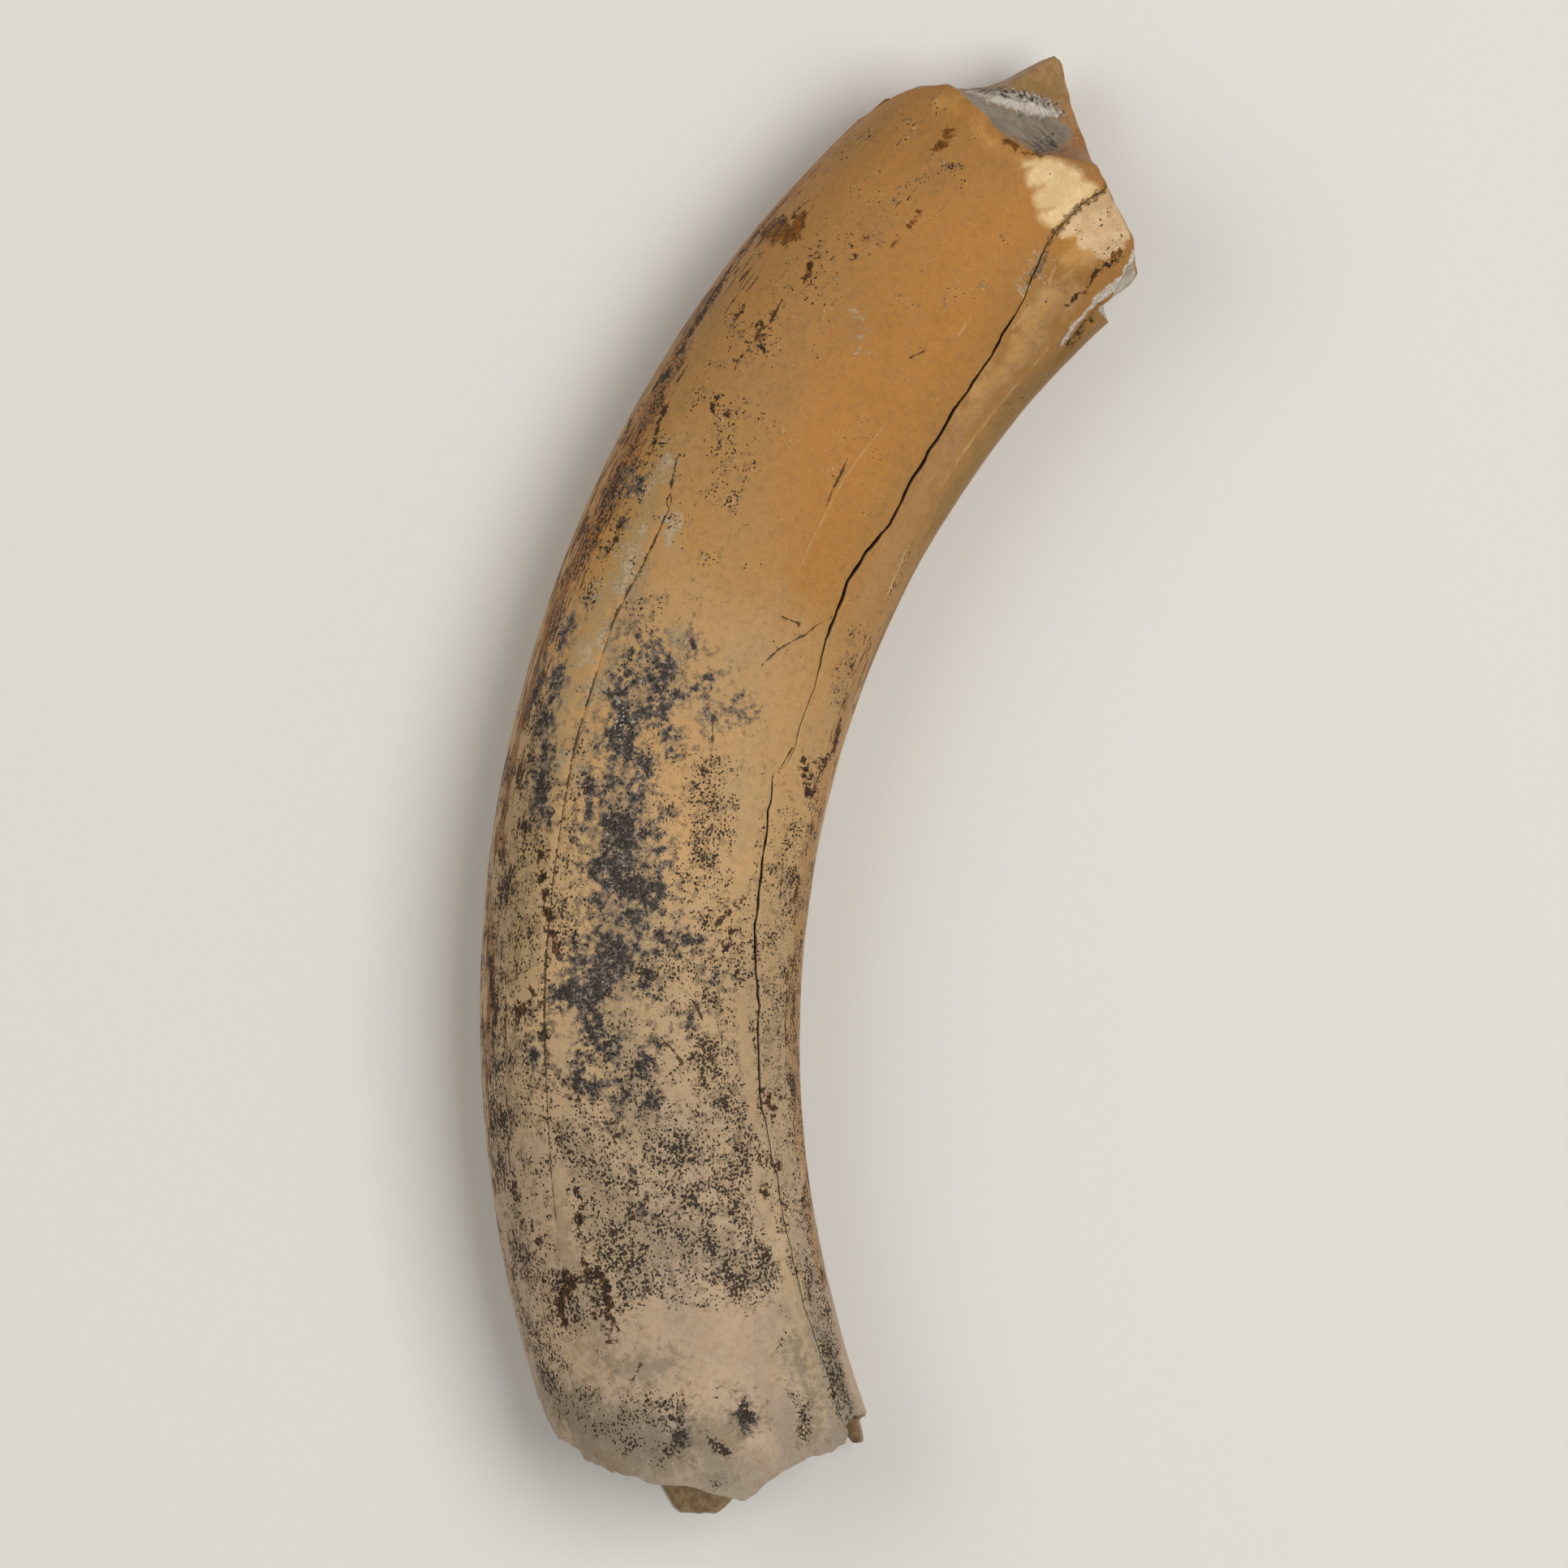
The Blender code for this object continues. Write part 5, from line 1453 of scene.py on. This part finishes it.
@dataclass(frozen=True)
class Layer:
    """One stain or wash over the dentine, or a mark of painted shade or highlight.

    Attributes:
        name: The mesh attribute that says how far inside its edge a point is.
        colour: Its colour.
        second_colour: The colour that it is mottled with.
        grain: The noise that frays its edge.
        ragged: How far the edge is frayed, as that noise's deviation.
        wobble: How far the blotches move the edge, likewise.
        edge: How soft its edge is.
        spread: How far its edge is moved outwards.
        strength: How fully it covers.
        roughness: Its roughness.
        height: How far it stands over the dentine, in mm.
        mottle: The noise that mixes its two colours.
    """

    name: str
    colour: str
    second_colour: str
    grain: Grain = CRUMB
    ragged: float = 0.3
    wobble: float = 0.0
    edge: float = 0.15
    spread: float = 0.0
    strength: float = 1.0
    roughness: float = 0.5
    height: float = 0.0
    mottle: Grain = SPECK


@dataclass
class FossilDentine:
    """Mineralised dentine, buried in clay: smooth, satin, amber where iron soaked in, grey-beige at the root.

    Attributes:
        ground: The colours under the stains, from the root to the crown.
        drift: How far the clouds move them, in mm.
        light: How much each noise lightens and darkens everything.
        layers: The stains and washes, from the lowest up, with the painted shade and highlights noted at
            each.
        satin: The bare dentine's roughness, and how much the blotches change it.
        relief: How high each noise stands in the bump, in mm.
        mottle_reach: The deviation of a noise at which one of the two colours shows alone.
        spot: A round speck's height in its middle, what its cell adds at most, and its slope to the edge.
        line: How far inside a thin line its middle counts as, in mm.
        band: How far beside a thin line it can still show.
    """

    ground: tuple[tuple[float, str], ...] = (
        (0, "#9E907E"), (0.05, "#9C8B78"), (0.1, "#B29B82"), (0.16, "#B89E81"), (0.3, "#BA9D78"),
        (0.45, "#C19D6E"), (0.55, "#BF9561"), (0.62, "#B4874E"), (0.72, "#A97D48"), (0.98, "#A87539"),
    )
    ground_span: tuple[float, float] = (0, 190)
    drift: float = 6.0
    light: Weights = ((CLOUD, 0.045), (BLOTCH, 0.025), (SPECK, 0.028))
    layers: tuple[Layer, ...] = (
        Layer("biting", "#98714A", "#AE8A5E", CRUMB, 0.1, edge=0.4, roughness=0.42, mottle=CRUMB),
        Layer("bone", "#CBB08A", "#D2BA98", BLOTCH, 0.5, 0.3, edge=2.0, strength=0.75, mottle=CLOUD),
        Layer("grey", "#776D5D", "#8E836F", CRUMB, 0.8, 0.7, edge=1.8, strength=0.8, mottle=CRUMB),
        # Painted shade, partly grey-brown stain: the inner flank beyond the ridge and the spur.
        Layer("shade", "#8A6A38", "#8E7042", BLOTCH, 0.6, edge=1.0, strength=0.75, mottle=STRAND),
        Layer("olive", "#A08A60", "#A88C64", BLOTCH, 0.9, edge=1.8, strength=0.6, mottle=CRUMB),
        Layer("amber", "#B67C35", "#B27832", BLOTCH, 0.5, 0.3, edge=5.5, strength=0.95, roughness=0.42,
              mottle=CLOUD),
        Layer("pink", "#B08454", "#B58A5A", BLOTCH, 0.4, edge=0.9, strength=0.8, mottle=STRAND),
        Layer("rust", "#A0662E", "#875226", STRAND, 0.7, 0.5, edge=1.1, strength=0.85, mottle=CRUMB),
        Layer("flecks", "#7E6646", "#8C6C42", BLOTCH, 0.9, edge=1.2, spread=2.2, strength=0.17,
              mottle=BLOTCH),
        Layer("flecks", "#6E5638", "#7C5C36", CRUMB, 0.9, edge=0.9, spread=1.9, strength=0.16,
              mottle=BLOTCH),
        Layer("specks", "#7E6C50", "#70604A", CRUMB, 0.9, 0.45, edge=0.9, spread=0.3, strength=0.45,
              mottle=CRUMB),
        Layer("veil", "#7E6E58", "#8E7E64", CRUMB, 0.9, 0.6, edge=2.0, strength=0.5, mottle=BLOTCH),
        Layer("streaks", "#2E1C0F", "#6E4522", STRAND, 0.95, 0.4, edge=0.2, strength=0.85, roughness=0.6,
              mottle=CRUMB),
        Layer("honey", "#CA9244", "#C89854", BLOTCH, 0.4, 0.3, edge=1.6, strength=0.6, mottle=BLOTCH),
        # Cream patches, and a painted highlight along the ridge's crest.
        Layer("cream", "#DFBC84", "#E6C896", CRUMB, 0.07, 0.08, edge=0.6, mottle=BLOTCH),
        Layer("blush", "#CCA87C", "#D6B58C", CRUMB, 0.12, 0.10, edge=0.4, spread=0.1, mottle=BLOTCH),
        Layer("chalk", "#C2AD8E", "#9E8A6A", CRUMB, 0.8, 0.5, edge=0.7, strength=0.75, roughness=0.8,
              height=0.02),
        # Grey wear, and painted shade on the hollow of the worn face.
        Layer("worn", "#857867", "#928574", CRUMB, 0.2, edge=0.35, roughness=0.4, mottle=BLOTCH),
        Layer("seam", "#4E3A20", "#8E7046", CRUMB, 0.2, edge=0.16, strength=0.85, roughness=0.7),
        Layer("ochre", "#84500F", "#5E370C", CRUMB, 0.26, 0.12, edge=0.22, strength=0.95, mottle=CRUMB),
        Layer("iron", "#5F3C1C", "#33200F", CRUMB, 0.30, 0.15, edge=0.22, strength=0.95, roughness=0.55,
              mottle=CRUMB),
        Layer("manganese", "#7F6D56", "#6E5E4B", CRUMB, 0.9, 0.4, edge=0.9, spread=1.0, strength=0.6,
              mottle=CRUMB),
        Layer("manganese", "#4A413C", "#7A6E62", CRUMB, 0.5, 0.3, edge=0.4, spread=0.15, strength=0.9),
        Layer("manganese", "#241F1D", "#48403B", CRUMB, 0.8, 0.4, edge=0.4, spread=-0.5, strength=0.85,
              roughness=0.6),
        # Pale specks within the manganese: partly gaps in the stain, partly painted glints of light.
        Layer("manganese", "#9C9084", "#D0C4B4", SPECK, 0.9, edge=0.2, spread=-2.3, strength=0.75),
        Layer("specks", "#14100D", "#2B211A", SPOT, 0.9, 0.45, edge=0.3, strength=0.95, roughness=0.6,
              mottle=BLOTCH),
        # Pale flecks: partly light grains of the dentine, partly painted pin-point highlights.
        Layer("flecks", "#D2BB98", "#C2A983", SPECK, -0.95, 0.3, edge=0.25, strength=0.5, roughness=0.6),
        # Pale lines, and the painted highlight along the ridge's crest.
        Layer("pale", "#CDA878", "#C39C68", CRUMB, 0.07, edge=0.06, strength=0.45, roughness=0.6),
        Layer("lines", "#20170E", "#4A3820", CRUMB, 0.07, edge=0.05, strength=0.9, roughness=0.6,
              mottle=CRUMB),
        Layer("porous", "#B9AE9F", "#4A423A", CRUMB, 0.3, edge=0.15, roughness=0.85, height=0.05,
              mottle=STRAND),
        Layer("white", "#DDD5C9", "#B8AC9C", CRUMB, 0.12, edge=0.25, roughness=0.85, height=0.03,
              mottle=SPECK),
        Layer("hollow", "#3E3014", "#6A5530", CRUMB, 0.3, edge=0.25, roughness=0.8),
        Layer("fracture", "#CBC2B3", "#A39782", CRUMB, 0.15, edge=0.2, roughness=0.9, mottle=BLOTCH),
        Layer("inside", "#9C8563", "#836B4B", CRUMB, 0.0, edge=0.1, roughness=0.75, mottle=CRUMB),
        # Painted shade: near black over the open crack's faces between its lips, darker than the gap alone
        # makes it.
        Layer("crack", "#070403", "#0C0805", CRUMB, 0.0, edge=0.16, roughness=1.0),
    )
    satin: tuple[float, float] = (0.46, 0.03)
    relief: Weights = ((STRAND, 0.004), (CRUMB, 0.005))
    mottle_reach: float = 1.2
    spot: tuple[float, float, float] = (1.27, 1.36, -3.78)
    spot_fray: float = 0.68
    line: float = 0.15
    band: float = 0.5
    ior: float = 1.5
    specular: float = 0.15
    tree: bpy.types.NodeTree = field(init=False)
    noises: dict[Grain, Socket] = field(init=False, default_factory=dict)

    def add(self, kind: str, inputs: dict, output: int | str = 0, **settings) -> Socket:
        """Adds a node with its settings and links.

        Args:
            kind: The node's type, without "ShaderNode".
            inputs: Socket name or number to the value or the socket that it takes.
            output: The socket to hand on.
            **settings: The node's properties. A colour ramp's stops are (place, colour) pairs.

        Returns:
            The output socket.
        """
        node = self.tree.nodes.new(f"ShaderNode{kind}")
        for name, value in settings.items():
            if name == "stops":
                while len(node.color_ramp.elements) < len(value):
                    node.color_ramp.elements.new(1.0)
                for element, (place, colour) in zip(node.color_ramp.elements, value):
                    element.position, element.color = place, linear(colour)
            else:
                setattr(node, name, value)
        for name, value in inputs.items():
            if isinstance(value, Socket):
                self.tree.links.new(value, node.inputs[name])
            else:
                node.inputs[name].default_value = value
        return node.outputs[output]

    def weigh(self, base: float | Socket, weights: Weights) -> Socket:
        """Adds noises to a value, each times its weight."""
        for grain, weight in weights:
            base = self.add("Math", {0: self.noises[grain], 1: weight, 2: base}, operation="MULTIPLY_ADD")
        return base

    def noise(self, place: Socket, grain: Grain) -> Socket:
        """Makes one of the noises, centred on 0 and scaled to a standard deviation of about 1."""
        size, octaves, roughness, stretch = grain.value
        drawn = self.add("Mapping", {"Vector": place, "Scale": (1, 1, 1 / stretch)})
        settings = {"Vector": drawn, "Scale": 1 / size, "Detail": octaves, "Roughness": roughness}
        shares = roughness ** np.arange(octaves + 1)
        gain = NOISE_GAIN * shares.sum() / math.hypot(*shares)
        raw = self.add("TexNoise", settings)
        return self.add("Math", {0: raw, 1: gain, 2: -gain / 2}, operation="MULTIPLY_ADD")

    def spots(self, place: Socket) -> Socket:
        """Makes the noise of separate rounded specks, one to a cell and of all sizes.

        Args:
            place: The place in the tooth's bent frame.

        Returns:
            The noise, on the scale of the others and highest in the middle of each speck.
        """
        size, _, _, stretch = SPOT.value
        middle, of_cell, slope = self.spot
        drawn = self.add("Mapping", {"Vector": place, "Scale": (1, 1, 1 / stretch)})
        away = self.add("TexVoronoi", {"Vector": drawn, "Scale": 1 / size}, "Distance")
        cell = self.add("SeparateXYZ", {0: away.node.outputs["Color"]}, "X")
        raw = self.add("Math", {0: away, 1: slope, 2: middle}, operation="MULTIPLY_ADD")
        raw = self.add("Math", {0: cell, 1: of_cell, 2: raw}, operation="MULTIPLY_ADD")
        return self.weigh(raw, ((SPECK, self.spot_fray),))

    def near_line(self, layer: Layer, inside: Socket) -> Socket:
        """Narrows the fat band round each thin line down to the line itself.

        Args:
            layer: The layer of lines.
            inside: How far a point lies inside the line, in mm.

        Returns:
            The same, sharpened by how many half widths the point lies beside the line.
        """
        beside = self.add("Attribute", {}, "Fac", attribute_name=f"beside_{layer.name}")
        apart = self.add("Math", {0: beside}, operation="ABSOLUTE")
        within = self.add("Math", {0: apart, 1: -self.line, 2: self.line}, operation="MULTIPLY_ADD")
        reach = self.add("Math", {0: inside, 1: self.band}, operation="ADD")
        return self.add("Math", {0: within, 1: reach}, operation="MINIMUM")

    def mask(self, layer: Layer) -> Socket:
        """Frays a layer's edge.

        Args:
            layer: The layer.

        Returns:
            How fully it covers each point.
        """
        inside = self.add("Attribute", {}, "Fac", attribute_name=layer.name)
        if layer.name in THIN:
            inside = self.near_line(layer, inside)
        reach = self.weigh(inside, ((layer.grain, layer.ragged), (BLOTCH, layer.wobble)))
        low, high = -layer.edge - layer.spread, layer.edge - layer.spread
        edges = {"Value": reach, "From Min": low, "From Max": high, "To Max": layer.strength}
        return self.add("MapRange", edges, interpolation_type="SMOOTHSTEP")

    def material(self) -> bpy.types.Material:
        """Makes the material: the ground colour along the tooth, then each layer over it."""
        made = bpy.data.materials.new("fossil_dentine")
        made.use_nodes = True
        self.tree = made.node_tree
        place = self.add("Attribute", {}, "Vector", attribute_name="straight")
        self.noises.update({grain: self.noise(place, grain) for grain in Grain if grain is not SPOT})
        self.noises[SPOT] = self.spots(place)
        along = self.weigh(self.add("SeparateXYZ", {0: place}, "Z"), ((CLOUD, self.drift),))
        start, end = self.ground_span
        share = self.add("MapRange", {"Value": along, "From Min": start, "From Max": end})
        colour = self.add("ValToRGB", {"Fac": share}, "Color", stops=self.ground)
        satin, unevenness = self.satin
        roughness, height = self.weigh(satin, ((BLOTCH, unevenness),)), self.weigh(0.0, self.relief)
        ends = {"From Min": -self.mottle_reach, "From Max": self.mottle_reach}
        for layer in self.layers:
            mask = self.mask(layer)
            mottle = self.add("MapRange", {"Value": self.noises[layer.mottle], **ends})
            own = {"Factor": mottle, 6: linear(layer.colour), 7: linear(layer.second_colour)}
            own = self.add("Mix", own, 2, data_type="RGBA")
            colour = self.add("Mix", {"Factor": mask, 6: colour, 7: own}, 2, data_type="RGBA")
            roughness = self.add("Mix", {"Factor": mask, 2: roughness, 3: layer.roughness})
            if layer.height:
                height = self.add("Math", {0: mask, 1: layer.height, 2: height}, operation="MULTIPLY_ADD")
        shade = self.weigh(1.0, self.light)
        colour = self.add("VectorMath", {0: colour, 3: shade}, operation="SCALE")
        bump = self.add("Bump", {"Height": height, "Distance": MM, "Strength": 1.0})
        shader = self.tree.nodes["Principled BSDF"]
        for name, socket in {"Base Color": colour, "Roughness": roughness, "Normal": bump}.items():
            self.tree.links.new(socket, shader.inputs[name])
        shader.inputs["IOR"].default_value = self.ior
        shader.inputs["Specular IOR Level"].default_value = self.specular
        return made


@dataclass(frozen=True)
class Softbox:
    """A square softbox that faces the tooth, with its place and width in metres and its power in watts."""

    name: str
    place: tuple[float, float, float]
    width: float
    power: float

    def hang(self) -> None:
        """Hangs it."""
        data = bpy.data.lights.new(self.name, "AREA")
        data.size, data.energy = self.width, self.power
        lamp = bpy.data.objects.new(self.name, data)
        lamp.location = self.place
        lamp.rotation_euler = (-Vector(self.place)).to_track_quat("-Z", "Y").to_euler()
        bpy.context.collection.objects.link(lamp)


@dataclass(frozen=True)
class Studio:
    """The plain pale floor, the soft lights and the camera over the tooth.

    Attributes:
        view_centre: The point of the floor under the camera, in mm.
        view_width: Width of the view at the height of the tooth's middle.
        camera_height: Height of the camera over the tooth's middle.
        far_clip: How far the camera sees, in metres.
        softboxes: A wide key over the crown end and a fill from the other side.
    """

    view_centre: tuple[float, float] = (-2.59, 0.17)
    view_width: float = 193.2
    camera_height: float = 3000
    middle_height: float = 12.5
    far_clip: float = 20
    floor_size: float = 6000
    floor_colour: str = "#E4E2DD"
    floor_roughness: float = 0.9
    softboxes: tuple[Softbox, ...] = (
        Softbox("key", (0.60, 0.05, 1.30), 0.8, 12.3),
        Softbox("fill", (-0.9, 0.3, 1.2), 1.0, 5.6),
    )
    surround_colour: str = "#F6F2EB"
    surround_strength: float = 0.30

    def floor(self) -> None:
        """Lays the floor, a sheet of matt paper."""
        bpy.ops.object.select_all(action="DESELECT")
        bpy.ops.mesh.primitive_plane_add(size=self.floor_size * MM, location=(0, 0, 0))
        floor = bpy.context.object
        floor.name = "floor"
        paper = bpy.data.materials.new("matt_paper")
        paper.use_nodes = True
        shader = paper.node_tree.nodes["Principled BSDF"]
        shader.inputs["Base Color"].default_value = linear(self.floor_colour)
        shader.inputs["Roughness"].default_value = self.floor_roughness
        floor.data.materials.append(paper)

    def lights(self) -> None:
        """Hangs the softboxes and sets the surround."""
        for softbox in self.softboxes:
            softbox.hang()
        world = bpy.data.worlds.new("surround")
        world.use_nodes = True
        background = world.node_tree.nodes["Background"]
        background.inputs["Color"].default_value = linear(self.surround_colour)
        background.inputs["Strength"].default_value = self.surround_strength
        bpy.context.scene.world = world
        bpy.context.scene.view_settings.view_transform = "Standard"

    def camera(self) -> None:
        """Sets the camera straight over the tooth, so that the picture's top is the crown end."""
        data = bpy.data.cameras.new("camera")
        data.lens = data.sensor_width * self.camera_height / self.view_width
        data.clip_end = self.far_clip
        camera = bpy.data.objects.new("camera", data)
        height = self.middle_height + self.camera_height
        camera.location = (self.view_centre[0] * MM, self.view_centre[1] * MM, height * MM)
        bpy.context.collection.objects.link(camera)
        bpy.context.scene.camera = camera


def main() -> None:
    """Builds the tooth and its studio, and reports each piece."""
    logging.basicConfig(level=logging.INFO, format="%(name)s: %(message)s")
    studio = Studio()
    studio.camera()
    tooth = Tooth().build()
    tooth.data.materials.append(FossilDentine().material())
    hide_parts("tooth")
    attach(tooth, "root")
    log.info("%s: %d vertices, %d faces", tooth.name, len(tooth.data.vertices), len(tooth.data.polygons))
    studio.floor()
    studio.lights()
    log.info("floor, lights and camera are set")


if __name__ == "__main__":
    main()
